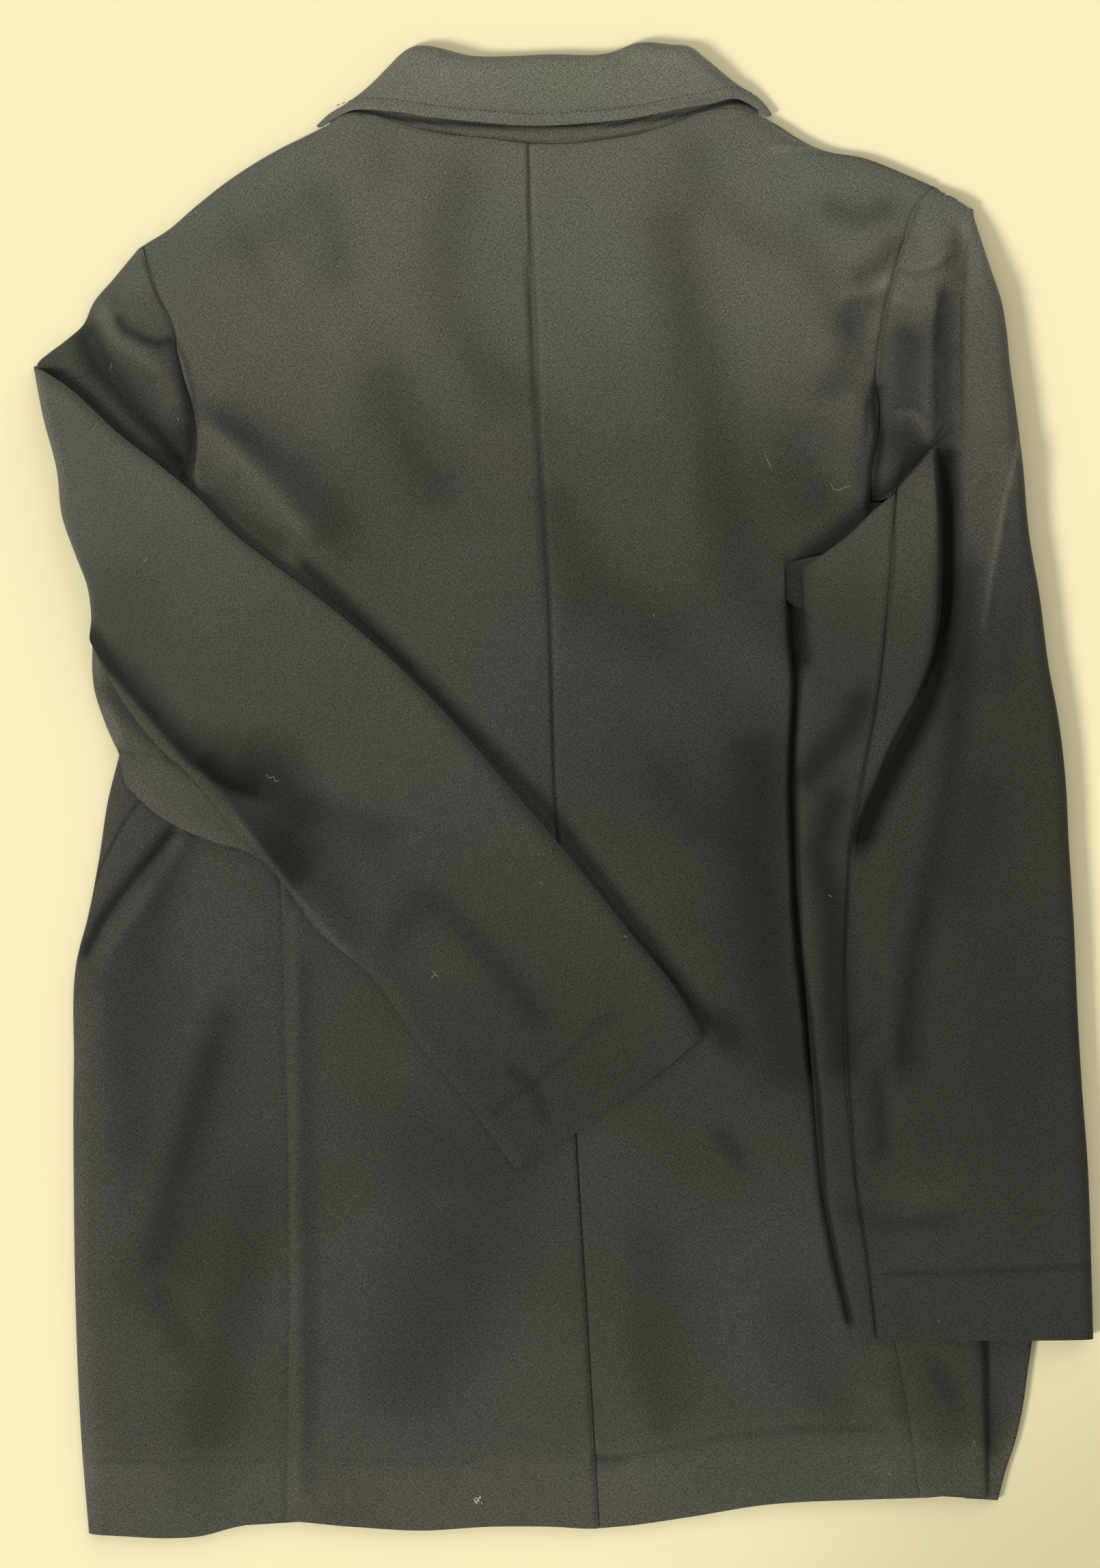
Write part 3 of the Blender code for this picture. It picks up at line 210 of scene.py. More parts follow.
CAP_FOOT = [(-238.5, 94), (-229, 104), (-219, 124), (-210.5, 142), (-206, 149.2),
            (-198, 149.2), (-190.5, 149.2)]

# Main folds, a row each: height above (or below) the cloth, half-widths on the route's left and right, route.
BACK_FOLDS = [
    (-1.6, 20, 17, [(65, 300), (83, 230), (90, 160), (100, 110)]),
    (-1.2, 26, 14, [(-2, 180), (8, 110), (32, 50), (52, 10)]),
    (-1.5, 16, 18, [(-92, 230), (-78, 190), (-62, 155)]),
    (-1.4, 14, 14, [(-128, 300), (-122, 265), (-125, 230)]),
    (3.4, 9, 8, [(-187, 190), (-172, 178), (-154, 157), (-133, 133)]),
    (-1.6, 8, 10, [(-183, 203), (-163, 190), (-146, 172), (-128, 150)]),
    (2.6, 8, 8, [(165, 241), (150, 228), (138, 232)]),
    (-2.4, 8, 10, [(128, 297), (150, 300), (172, 306)]),
    (-2.0, 8, 8, [(150, 245), (163, 262), (172, 276)]),
    (2.2, 7, 8, [(156, 215), (155, 188), (153, 168)]),
    (3.4, 1.8, 15, [(113, 112), (114, 79), (116.5, 50), (113.5, 1), (116, -62), (119, -89), (123.5, -143)]),
    (-1.6, 11, 12, [(-196, -40), (-218, -86), (-222, -140)]),
    (-1.8, 12, 12, [(-190, -100), (-200, -150), (-219, -211), (-216, -255)]),
    (-1.4, 18, 16, [(-150, -240), (-182, -320), (-180, -350)]),
    (1.6, 9, 9, [(-218, -52), (-236, -84), (-242, -140)]),
    (1.2, 20, 20, [(62, -30), (66, -70)]),
]
RIGHT_FOLDS = [
    (-1.8, 10, 10, [(156, 50), (141, 24), (130, 10)]),
    (-2.4, 9, 14, [(204, 38), (188, -14), (181, -52), (176, -89), (176, -130)]),
    (1.2, 5, 5, [(230, 172), (224, 130), (218, 101), (215, 83)]),
    (-1.0, 8, 8, [(208, 190), (206, 240), (206, 285)]),
    (1.8, 6, 5, [(172, 262), (182, 268), (193, 270), (200, 265)]),
    (1.8, 5, 6, [(168, 247), (178, 244), (187, 236), (192, 222)]),
    (1.2, 7, 7, [(173, 288), (184, 292), (194, 284)]),
]
LEFT_FOLDS = [
    (-4.2, 5, 8, [(-240, 78), (-226, 52), (-208, 34), (-192, 18), (-178, 8)]),
    (-1.6, 9, 9, [(-166, 8), (-148, 8), (-132, -8), (-108, -24), (-88, -34)]),
    (-1.2, 8, 8, [(-148, -22), (-128, -50), (-108, -80)]),
    (-1.0, 12, 12, [(-60, -60), (-44, -92), (-38, -120)]),
]
CAP_FOLDS = [
    (-3.6, 6, 6, [(-248, 241), (-238, 220), (-218, 195), (-206, 185), (-198, 172)]),
    (2.0, 7, 7, [(-240, 253), (-228, 234), (-210, 222), (-203, 205), (-198, 188)]),
    (-1.4, 6, 6, [(-232, 242), (-218, 233), (-204, 232)]),
]

# A sleeve's top layer above what it rests on: share of the way across, and height.
RIGHT_LOFT = [(0.0, 5.6), (0.2, 6.6), (0.42, 9.4), (0.6, 10.2), (0.8, 9.4), (1.0, 7.0)]
LEFT_LOFT = [(0.0, 5.0), (0.3, 5.6), (0.6, 6.0), (1.0, 5.0)]
# How full the right sleeve is, and how deep its valley, by Y.
RIGHT_FULLNESS = [(-283, 0.66), (-180, 0.85), (0, 1.0), (200, 1.15), (255, 0.95), (285, 0.6), (304, 0.25)]
VALLEY_DEPTH = [(-40, 0.0), (-16, 3.4), (20, 6.4), (60, 8.2), (150, 8.2), (165, 6.0), (176, 3.0),
                (200, 2.4), (250, 2.0), (285, 0.0)]

# Creases that only the cloth shows, with the same columns.
BACK_CREASES = [
    (-0.7, 1.2, 1.2, [(156, 202), (157, 192), (156, 181)]),
    (-1.5, 5, 7, [(163, 258), (154, 250), (151, 236), (145, 218)]),
    (-1.2, 8, 8, [(-167, 295), (-156, 278), (-146, 258)]),
    (1.0, 3, 3, [(-190, 167), (-187, 157)]),
    (-1.0, 5, 5, [(81, -176), (94, -192)]),
    (-1.0, 9, 9, [(-69, -212), (-43, -233)]),
    (-1.0, 9, 12, [(40, -264), (50, -326)]),
    (-1.0, 8, 8, [(117, -295), (148, -315)]),
    (-1.2, 6, 6, [(190, -290), (205, -315)]),
    (-0.6, 2, 3, [(17, -345), (29, -344), (56, -338), (84, -334), (120, -330), (167, -329)]),
    (-0.9, 3, 3, [(18, -345), (32, -345)]),
    (-0.5, 2, 3, [(-247, -345), (-200, -346), (-155, -345)]),
    (-0.5, 2, 3, [(-124, -345), (-83, -346)]),
    (1.6, 14, 14, [(29, -41), (71, -83)]),
    (-1.2, 10, 10, [(91, -21), (117, -57)]),
    (-2.2, 4, 2.2, [(-201, -21), (-208, -32), (-217, -44), (-228, -55), (-236, -64), (-241, -75),
                    (-247, -86)]),
    (1.8, 6, 4, [(-198, -26), (-205, -40), (-214, -55), (-225, -69), (-235, -85)]),
    (-1.6, 9, 7, [(-186, -27), (-198, -46), (-206, -69), (-210, -86)]),
    (-0.9, 9, 9, [(-175, -119), (-198, -171), (-209, -238), (-193, -284)]),
    (-0.7, 1, 1, [(-219, -6), (-227, -18), (-233, -29), (-239, -40), (-243, -51)]),
    (-0.6, 1.2, 1.2, [(109, 342), (117, 336), (132, 331)]),
]
RIGHT_CREASES = [
    (-1.4, 6, 6, [(190, 286), (184, 274)]),
    (1.0, 3, 3, [(173, 270), (182, 267), (190, 270), (198, 275)]),
    (-1.2, 3, 4, [(175, 267), (184, 264), (194, 267)]),
    (1.2, 4, 4, [(169, 254), (178, 248), (186, 239), (188, 233)]),
    (-1.6, 6, 6, [(172, 239), (182, 231), (189, 228)]),
    (-1.0, 3, 3, [(203, 288), (205, 278)]),
    (-1.5, 3, 2.5, [(174, 195), (182, 191), (190, 185)]),
    (1.0, 3, 3, [(172, 190), (180, 187), (187, 182)]),
    (0.9, 2, 3, [(229, 167), (226, 149), (224, 133), (220, 115), (217, 99), (215, 86)]),
    (-1.2, 4, 3, [(190, -58), (184, -95), (177, -129)]),
    (-1.2, 8, 6, [(159, -150), (164, -186)]),
    (1.4, 10, 10, [(176, -200), (203, -208)]),
    (-1.4, 6, 6, [(146, -222), (162, -229)]),
    (-1.0, 5, 5, [(127, -26), (128, -32)]),
    (-1.0, 3, 3, [(161, -120), (154, -130)]),
    (-0.5, 2, 3, [(152, -248), (210, -249), (272, -248)]),
    (-1.3, 5, 5, [(198, 255), (197, 220), (197, 190)]),
]
LEFT_CREASES = [
    (-2.6, 3, 2.5, [(-240, 76), (-233, 64), (-224, 54), (-216, 42), (-205, 32), (-195, 22), (-185, 12),
                    (-172, 4)]),
    (-1.0, 10, 10, [(-74, -57), (-33, -88), (-17, -114)]),
    (-0.5, 2, 3, [(-47, -170), (-29, -153), (-11, -144), (16, -122), (34, -111), (50, -102)]),
]
CAP_CREASES = [
    (-1.0, 3, 3, [(-250, 238), (-241, 218), (-222, 196), (-208, 185), (-200, 172)]),
]

# Painted highlights and painted shade along folds, creases, seams and overlapping edges, as lighter and
# darker strokes in the cloth's colour: strength, half-widths and route.
BODY_PAINTED_SHADING = [
    (-0.22, 14, 14, [(-173, 278), (-150, 288), (-145, 302)]),
    (-0.25, 10, 10, [(-129, 313), (-118, 288), (-115, 256)]),
    (-0.12, 10, 10, [(-94, 345), (-94, 309)]),
    (-0.25, 14, 14, [(-48, 327), (-60, 292), (-62, 260), (-51, 232), (-30, 207), (-16, 196)]),
    (-0.3, 18, 18, [(-9, 165), (2, 133), (16, 101), (48, 80), (62, 69)]),
    (-0.35, 16, 16, [(-94, 225), (-88, 196), (-72, 168), (-55, 147)]),
    (-0.45, 12, 9, [(-182, 193), (-161, 182), (-139, 168), (-122, 147), (-115, 126)]),
    (-0.45, 7, 7, [(-186, 156), (-164, 138), (-143, 124)]),
    (0.3, 4.5, 4.5, [(-185, 189), (-172, 177), (-154, 158), (-133, 134)]),
    (-0.22, 12, 12, [(62, 338), (72, 309), (97, 288), (125, 278), (139, 253), (146, 232)]),
    (-0.35, 16, 16, [(53, 306), (58, 267), (65, 232), (76, 196), (83, 154), (94, 115), (108, 91),
                     (115, 69)]),
    (-0.4, 7, 7, [(132, 302), (154, 295), (171, 302)]),
    (-0.38, 5, 6, [(175, 286), (164, 272), (148, 263)]),
    (0.32, 3, 4, [(169.5, 263), (154.5, 256.5), (141, 254.5)]),
    (-0.42, 6, 9, [(163, 255), (153, 249), (150, 225), (146, 211), (132, 205)]),
    (-0.35, 4, 7, [(158, 211), (155, 182), (154, 154)]),
    (-0.35, 20, 20, [(115, 196), (118, 161), (129, 133)]),
    (-0.2, 10, 10, [(129, 161), (136, 140)]),
    (-1.3, 7, 2, [(122.5, 115.5), (136, 124.5), (155, 141), (166, 150)]),
    (-1.5, 5, 4, [(117.5, 100), (118.5, 84), (119.5, 66)]),
    (-0.3, 3, 3, [(115, 111), (118.5, 111.5)]),
    (-0.3, 16, 16, [(48, 20), (62, -8), (83, -26)]),
    (0.07, 14, 14, [(37, -33), (62, -65), (83, -86)]),
    (-0.75, 14, 20, [(101, 34), (104, -51), (109, -104), (122, -157)]),
    (-0.7, 8, 8, [(76, -114), (90, -135)]),
    (-0.35, 6, 6, [(79, -174), (94, -192)]),
    (-0.42, 9, 8, [(-173, -109), (-189, -157), (-203, -206), (-213, -248)]),
    (-0.3, 14, 12, [(-179, -128), (-189, -185), (-197, -227), (-203, -255)]),
    (-0.25, 9, 9, [(-212, -255), (-194, -289)]),
    (-0.25, 12, 12, [(-203, -22), (-205, -51), (-215, -86), (-222, -157), (-224, -192)]),
    (-0.25, 15, 15, [(-159, -192), (-168, -262), (-176, -298), (-182, -344)]),
    (-0.25, 6, 4, [(-134, -86), (-132, -262), (-132, -361)]),
    (0.14, 3, 2, [(-140, -61), (-138.5, -192), (-138.5, -368.5)]),
    (-0.3, 28, 28, [(-94, -174), (-37, -199), (-51, -245), (-79, -298), (-72, -326)]),
    (-0.22, 16, 10, [(42, -220), (44, -280), (53, -337)]),
    (-0.2, 16, 16, [(111, -259), (145, -319)]),
    (-0.2, 5, 5, [(171, -294), (175, -326)]),
    (-0.2, 8, 8, [(189, -294), (203, -319)]),
    (-0.3, 20, 20, [(196, -284), (202, -358)]),
    (-0.22, 1.6, 1.6, [(16.5, -344.5), (29.5, -344.5), (56.5, -338.5), (83.5, -334), (119.5, -330),
                       (167, -329)]),
    (-0.4, 1.5, 2.5, [(16.5, -345), (32, -345)]),
    (-0.22, 1.6, 1.6, [(-246.5, -346), (-203, -346), (-155.5, -346)]),
    (-0.22, 1.6, 1.6, [(-123.5, -346), (-83, -346), (-44, -346)]),
    (-0.95, 2.2, 4, [(-201, -20.5), (-220.5, -43.5), (-238.5, -68.5), (-247, -86)]),
    (-0.6, 0.8, 0.8, [(-218.5, -6), (-227.5, -18), (-239, -40.5), (-243, -51.5)]),
    (0.2, 4, 4, [(-197, -25), (-205, -40), (-225, -69), (-235, -85)]),
    (0.28, 14, 14, [(-252, -104), (-253, -227), (-247, -361)]),
    (-1, 2.4, 2.4, [(219, -282), (218.5, -333), (221.5, -361.5)]),
    (0.35, 0.8, 0.8, [(98, 349.5), (109, 341.5), (117, 336), (132.5, 331)]),
    (-0.12, 20, 20, [(62, -47), (72, -86)]),
    (0.3, 0.8, 0.8, [(108, 329.5), (127, 331), (133, 330)]),
    (-0.85, 0.9, 0.9, [(-18.5, 333.5), (-17.5, 253), (-12.5, 161), (-8, 90.5), (-5, 2.5), (-2.5, -29.5)]),
    (-0.25, 0.9, 0.9, [(6, -176), (11.5, -280), (16.5, -379)]),
    (-1.7, 2.2, 2.4, [(120, 69.5), (117.5, 20), (118.5, -33), (120.5, -86), (125.5, -121.5), (129, -156.5),
                      (133.5, -209.5), (140, -245), (147.5, -275)]),
    (-0.5, 1.1, 1.1, [(182, 302.5), (174, 280.5), (171, 270), (166.5, 255.5), (163, 235.5),
                      (160.5, 210.5)]),
    (-1.3, 3, 2.4, [(160.5, 210.5), (159, 196.5), (161.5, 182.5), (159, 164.5), (157, 143.5)]),
    (-0.5, 0.7, 0.7, [(156.5, 202.5), (155.5, 191), (157, 181.5)]),
    (-1.1, 4.2, 3, [(-136, 116.5), (-114.5, 97.5), (-79.5, 64), (-44, 27), (-9, -10), (26.5, -56),
                    (47.5, -84), (75, -121.5)]),
    (-0.5, 1.4, 1.2, [(-216, 277), (-210, 256.5), (-201, 234.5), (-195, 221), (-191.5, 207), (-189, 189.5),
                      (-189.5, 175.5), (-194.5, 159.5)]),
]
RIGHT_PAINTED_SHADING = [
    (-0.2, 5, 5, [(178, 288), (181, 274)]),
    (-0.38, 2.4, 2.4, [(172, 269), (182, 265), (192.5, 268), (198, 274)]),
    (0.2, 2, 2, [(170, 270), (182, 268.5), (191, 271.5), (197.5, 277.5)]),
    (0.25, 3, 3, [(167.5, 253.5), (175.5, 252), (183.5, 246.5)]),
    (-0.18, 7, 7, [(169, 239), (182, 232), (190, 228)]),
    (-0.62, 11, 1.1, [(191.5, 258), (191.5, 231.5), (191.5, 179)]),
    (-0.32, 6, 6, [(200, 286), (199, 249), (199, 182)]),
    (-0.25, 1.4, 1.4, [(207.5, 283.5), (205, 245.5), (204.5, 207.5), (204.5, 179.5)]),
    (0.5, 1.2, 5, [(170.5, 194.5), (179.5, 194.5), (186, 187.5), (189.5, 179.5)]),
    (-0.25, 1.5, 1.5, [(170, 197), (180.5, 197), (188, 188.5)]),
    (0.25, 12, 12, [(199, 302), (217, 288), (224, 260)]),
    (-1.5, 0.8, 6.5, [(189, 177), (182, 168), (169.5, 153.5), (158, 146)]),
    (-0.35, 3, 3, [(164, 210.5), (163.5, 182.5), (161.5, 150.5)]),
    (-2.2, 6.5, 4.6, [(196, 177), (197, 154), (197, 126), (196, 91), (193, 68), (185, 43), (172, 18),
                      (159, -8), (151, -29)]),
    (-0.35, 1, 1, [(191.5, 179), (192.5, 140), (192.5, 90.5)]),
    (-0.55, 9, 6, [(208, 119), (204, 55), (197, 2), (186, -51), (179, -86), (174, -146)]),
    (-0.25, 16, 10, [(217, 13), (210, -26), (198, -61)]),
    (-0.45, 4, 4, [(161, -142), (164, -188)]),
    (-0.22, 3, 3, [(150, -129.5), (161.5, -121.5)]),
    (0.5, 1.7, 1.5, [(234.5, 182.5), (226, 147), (219, 108), (215.5, 83.5)]),
    (-0.22, 9, 9, [(239, 161), (232, 108), (225, 55)]),
    (-0.75, 8, 8, [(156, 52), (146, 31), (129, 13), (120, 2)]),
    (-0.8, 8, 8, [(141, 2), (131, -33), (138, -61), (140, -100), (143, -149)]),
    (0.2, 14, 14, [(171, -206), (210, -204)]),
    (-0.25, 6, 6, [(142, -214), (164, -224), (203, -220)]),
    (-0.35, 1.6, 1.6, [(164, -249), (217, -247.5), (272, -245)]),
    (-0.1, 20, 20, [(217, -51), (224, -121), (228, -192)]),
    (0.12, 12, 12, [(254, -192), (259, -262)]),
    (-1.1, 6, 6, [(118, 122), (118, 91)]),
    (-2.2, 5, 3, [(118.5, 92.5), (119.5, 83.5), (121, 62.5)]),
    (-1.1, 1.1, 3, [(122, 60.5), (119, 20), (120.5, -33), (122, -79), (127.5, -121.5), (131, -156.5),
                    (134.5, -209.5), (141.5, -245), (148.5, -275)]),
    (-0.85, 13, 13, [(178, 242), (176, 211), (174, 161)]),
    (-0.35, 7, 9, [(164, 182), (176, 182), (185, 177)]),
    (-1.1, 2, 1.6, [(162, 209), (161, 196.5), (163.5, 182.5), (160.5, 164.5), (159, 145.5)]),
    (-0.4, 1, 1, [(183.5, 302.5), (175.5, 280.5), (168.5, 255.5), (164.5, 235.5), (162.5, 210.5)]),
    (-0.7, 0.8, 0.8, [(170.5, 151.5), (169.5, 126), (167, 97.5), (164, 69.5), (160.5, 41), (154.5, 9.5),
                      (147, -33), (144.5, -86), (146, -142.5), (150, -199), (157, -245), (160.5, -280)]),
]
LEFT_PAINTED_SHADING = [
    (-1.15, 9, 2.2, [(-250.5, 81.5), (-242, 72), (-224, 52.5), (-208.5, 34), (-192.5, 15.5), (-173, 1.5),
                     (-155.5, -3.5)]),
    (-0.6, 14, 2.4, [(-190.5, 18), (-169.5, -6.5), (-150, -33), (-136, -52.5)]),
    (-0.7, 14, 14, [(-171, 18), (-148, 9), (-139, -8), (-141, -28), (-125, -42)]),
    (-0.35, 9, 9, [(-136, -8), (-94, -22), (-86, -29)]),
    (-0.25, 8, 8, [(-120, -47), (-104, -79)]),
    (-0.35, 9, 9, [(-79, -51), (-62, -61), (-37, -86), (-23, -104), (-9, -121)]),
    (-0.25, 8, 8, [(-90, -86), (-79, -61)]),
    (0.14, 10, 10, [(-65, -76), (-51, -100)]),
    (-0.3, 4, 4, [(-30, -142), (-16, -153), (-9, -171)]),
    (-0.2, 2, 2, [(13, -122), (26.5, -114)]),
    (0.1, 14, 14, [(-270, 218), (-259, 161), (-248, 108)]),
    (0.3, 1.2, 1.2, [(-169.5, -13.5), (-143, -47), (-93.5, -107)]),
    (-0.2, 1.6, 1.6, [(-38, -168), (-30, -161), (-17.5, -153), (14, -125), (34, -114)]),
]
LOBE_PAINTED_SHADING = [
    (-0.3, 1, 1, [(-231, 20), (-206.5, 16.5), (-189, 6), (-173, -12.5)]),
    (-0.5, 6, 4, [(-240, 55), (-221, 34), (-198, 15), (-175, -1)]),
    (0.25, 4, 4, [(-242, 69), (-238, 52), (-229, 23)]),
    (0.12, 6, 6, [(-226, 8), (-207, -15), (-175, -29)]),
]
CAP_PAINTED_SHADING = [
    (-0.7, 5, 5, [(-246, 241), (-233, 216), (-221, 199), (-207, 182), (-197, 166)]),
    (-0.25, 5, 8, [(-246, 242), (-249, 232), (-238, 211)]),
    (-0.9, 3.4, 3, [(-201, 233), (-197.5, 221), (-194.5, 205.5), (-191.5, 190), (-192.5, 175.5),
                    (-196, 159.5)]),
    (0.42, 5, 4.5, [(-238, 249), (-233, 235), (-221, 226), (-208, 216), (-199, 196)]),
    (-0.75, 2.6, 2.2, [(-230.5, 244), (-226, 237), (-215.5, 231.5), (-208.5, 230), (-201, 232.5)]),
    (0.15, 8, 8, [(-217, 269), (-224, 253)]),
    (-0.6, 1.6, 1.6, [(-270, 218.5), (-256, 211.5), (-238.5, 195.5), (-220.5, 178), (-203, 164)]),
    (0.12, 5, 5, [(-259, 225), (-242, 204), (-221, 181), (-205, 166)]),
    (-0.4, 1.3, 1.3, [(-216, 273.5), (-210, 256.5), (-201, 235.5)]),
    (-0.5, 6, 6, [(-196, 189), (-199, 175)]),
]
COLLAR_PAINTED_SHADING = [
    (-0.15, 5, 5, [(25, 379), (26, 368)]),
    (-0.1, 5, 4, [(-65, 378), (-58, 375)]),
    (-0.12, 1.2, 1.2, [(-107.5, 355.5), (-62, 351), (-9, 349.5), (44, 352), (90, 357)]),
]
STAND_PAINTED_SHADING = [
    (-1.6, 1.3, 1.3, [(-118.5, 350), (-107.5, 350.5), (-79.5, 345), (-44, 342.5), (-9, 342), (26.5, 343.5),
                      (62, 348), (83, 354), (97, 355.5)]),
    (-0.9, 0.9, 0.9, [(-93.5, 345.5), (-79.5, 341), (-47.5, 336), (-17.5, 333.5), (19.5, 335), (47.5, 340),
                      (69, 346.5)]),
]

# How light the cloth's painted light and shade is by Y, for each part of the garment: painted light towards
# the top, painted shade across the middle.
PAINTED_SHADING_LEVEL = {
    "left": [(-390, 0.88), (-347, 0.86), (-341, 0.74), (-320, 0.68), (-250, 0.62), (-100, 0.6), (60, 0.66),
             (160, 0.8), (230, 1.1), (300, 1.3), (345, 1.35)],
    "right": [(-390, 0.88), (-341, 0.86), (-333, 0.72), (-318, 0.66), (-250, 0.58), (-192, 0.52), (-68, 0.5),
              (0, 0.48), (90, 0.58), (180, 0.85), (250, 1.2), (300, 1.35), (345, 1.4)],
    "collar": [(330, 1.35), (350, 1.6), (385, 2.05)],
    "stand": [(330, 1.25), (350, 1.25)],
    "right_sleeve": [(-290, 0.45), (-265, 0.42), (-122, 0.4), (0, 0.47), (53, 0.48), (90, 0.55), (140, 0.8),
                     (200, 1.08), (245, 1.15), (285, 1.4)],
    "left_sleeve": [(-195, 0.42), (-156, 0.42), (-86, 0.55), (38, 0.72), (161, 1.06), (220, 1.15)],
    "lobe": [(-60, 0.8), (80, 0.95)],
    "cap": [(90, 0.45), (170, 0.5), (214, 0.58), (245, 0.95), (280, 1.25)],
}
PAINTED_SHADING_STROKES = {
    "body": BODY_PAINTED_SHADING, "collar": COLLAR_PAINTED_SHADING, "stand": STAND_PAINTED_SHADING, "right_sleeve": RIGHT_PAINTED_SHADING,
    "left_sleeve": LEFT_PAINTED_SHADING, "lobe": LOBE_PAINTED_SHADING, "cap": CAP_PAINTED_SHADING,
}
PART_OF = {
    "collar_fall": "collar", "collar_stand": "stand", "under_sleeve_right": "right_sleeve",
    "sleeve_head_right": "right_sleeve", "upper_sleeve_right": "right_sleeve",
    "upper_sleeve_left": "left_sleeve", "under_sleeve_left": "lobe", "sleeve_head_left": "cap",
}
# The darkest and lightest painted light and shade, how slowly a stroke fades at its ends, and its share at
# the very end.
PAINTED_SHADING_RANGE = (0.08, 2.6)
PAINTED_SHADING_TAPER = 1.6
PAINTED_SHADING_END_SHARE = 0.4
# The left and right halves' painted light and shade run into each other over this width, this far left of the
# centre back.
PAINTED_SHADING_BLEND = 180.0
PAINTED_SHADING_BLEND_START = -90.0

# Small steps that the cloth shows.
COLLAR_STITCH_INSET = 6.0
COLLAR_TIP_DROP = 3.4
COLLAR_SHARES = (0.012, 0.986)
VENT_STEP = 1.0
VENT_STEP_LENGTH = 40.0
VENT_STEP_WIDTH = 22.0
HEAD_SEAM_GAP = 0.06

# The cloth's own grid, seams and grain.
GRID_STEP = 2.3
COLLAR_GRID_STEP = 1.6
ROUND_STEPS = 8
SEAM_STEPS = (0.5, 1.1, 1.8)
SEAM_DIP = 0.6
SEAM_DIP_WIDTH = 1.3
SHARP_EDGE = math.radians(55)
LEAST_MITRE = 0.75
UPRIGHT_SHARE = 0.55
LEFT_SLEEVE_TURN = math.radians(48)
CAP_TURN = math.radians(20)


class Line:
    """A smooth curve through measured points, read by its length, by X or by Y."""

    def __init__(self, points):
        self.points = np.array(points, float)
        steps = np.linalg.norm(np.diff(self.points, axis=0), axis=1)
        self.stops = np.concatenate([[0.0], np.cumsum(steps)]) / steps.sum()
        self.slopes = np.gradient(self.points, self.stops, axis=0)
        self.dense = self.at(np.linspace(0, 1, 600))

    def at(self, shares):
        shares = np.clip(np.asarray(shares, float), 0, 1)
        last = len(self.stops) - 2
        start = np.clip(np.searchsorted(self.stops, shares, side="right") - 1, 0, last)
        span = self.stops[start + 1] - self.stops[start]
        t = ((shares - self.stops[start]) / span)[..., None]
        span = span[..., None]
        here, there = self.points[start], self.points[start + 1]
        leave, arrive = self.slopes[start] * span, self.slopes[start + 1] * span
        return (here * (2 * t**3 - 3 * t**2 + 1) + leave * (t**3 - 2 * t**2 + t)
                + there * (3 * t**2 - 2 * t**3) + arrive * (t**3 - t**2))

    def read(self, known, values):
        order = np.argsort(self.dense[:, known])
        return np.interp(values, self.dense[order, known], self.dense[order, 1 - known])

    def x_at(self, y):
        return self.read(1, y)

    def y_at(self, x):
        return self.read(0, x)


LINE = {name: Line(points) for name, points in {
    "left_side": LEFT_SIDE, "right_side": RIGHT_SIDE, "right_reach": RIGHT_REACH, "hem": HEM,
    "centre": CENTRE_BACK, "back_left_edge": PRINCESS_LEFT + ARMHOLE_LEFT[1:],
    "back_right_edge": PRINCESS_RIGHT + ARMHOLE_RIGHT[1:], "top_left": TOP_LEFT, "top_right": TOP_RIGHT,
    "ridge_right": RIDGE_RIGHT, "front_left_edge": LEFT_SIDE[:-1] + FRONT_UNDERARM + ARMHOLE_LEFT[2:],
    "front_right_edge": RIGHT_REACH + ARMHOLE_RIGHT[2:], "collar_outline": COLLAR_OUTLINE,
    "fall_edge": FALL_EDGE, "roll": ROLL_LINE, "lapel_edge": LAPEL_EDGE, "right_inner": RIGHT_INNER,
    "hind_seam": HIND_SEAM, "hind_seam_top": HIND_SEAM_TOP, "right_outer": RIGHT_OUTER,
    "cap_right": CAP_RIGHT, "diagonal": DIAGONAL, "flap": FLAP, "valley_edge": VALLEY_EDGE,
    "left_fold": LEFT_FOLD, "left_crease": LEFT_CREASE, "left_cuff": LEFT_CUFF,
    "left_lower": LEFT_LOWER, "under_start": UNDER_START, "cap_left": CAP_LEFT, "cap_foot": CAP_FOOT,
    "right_loft": RIGHT_LOFT, "left_loft": LEFT_LOFT,
}.items()}


def smooth(value):
    value = np.clip(value, 0, 1)
    return value * value * (3 - 2 * value)


def between(value, low, high, fade, high_fade=None):
    """0 at two values and past them, and 1 between them, which it reaches over these lengths."""
    return smooth((value - low) / fade) * smooth((high - value) / (high_fade or fade))


def rounded(distance, reach):
    """A quarter round: 0 at a folded edge and 1 from the given reach inwards."""
    inside = 1 - np.clip(np.asarray(distance, float) / reach, 0, 1)
    return np.sqrt(1 - inside**2)


def table_at(table, value):
    stops, values = np.array(table, float).T
    return np.interp(value, stops, values)


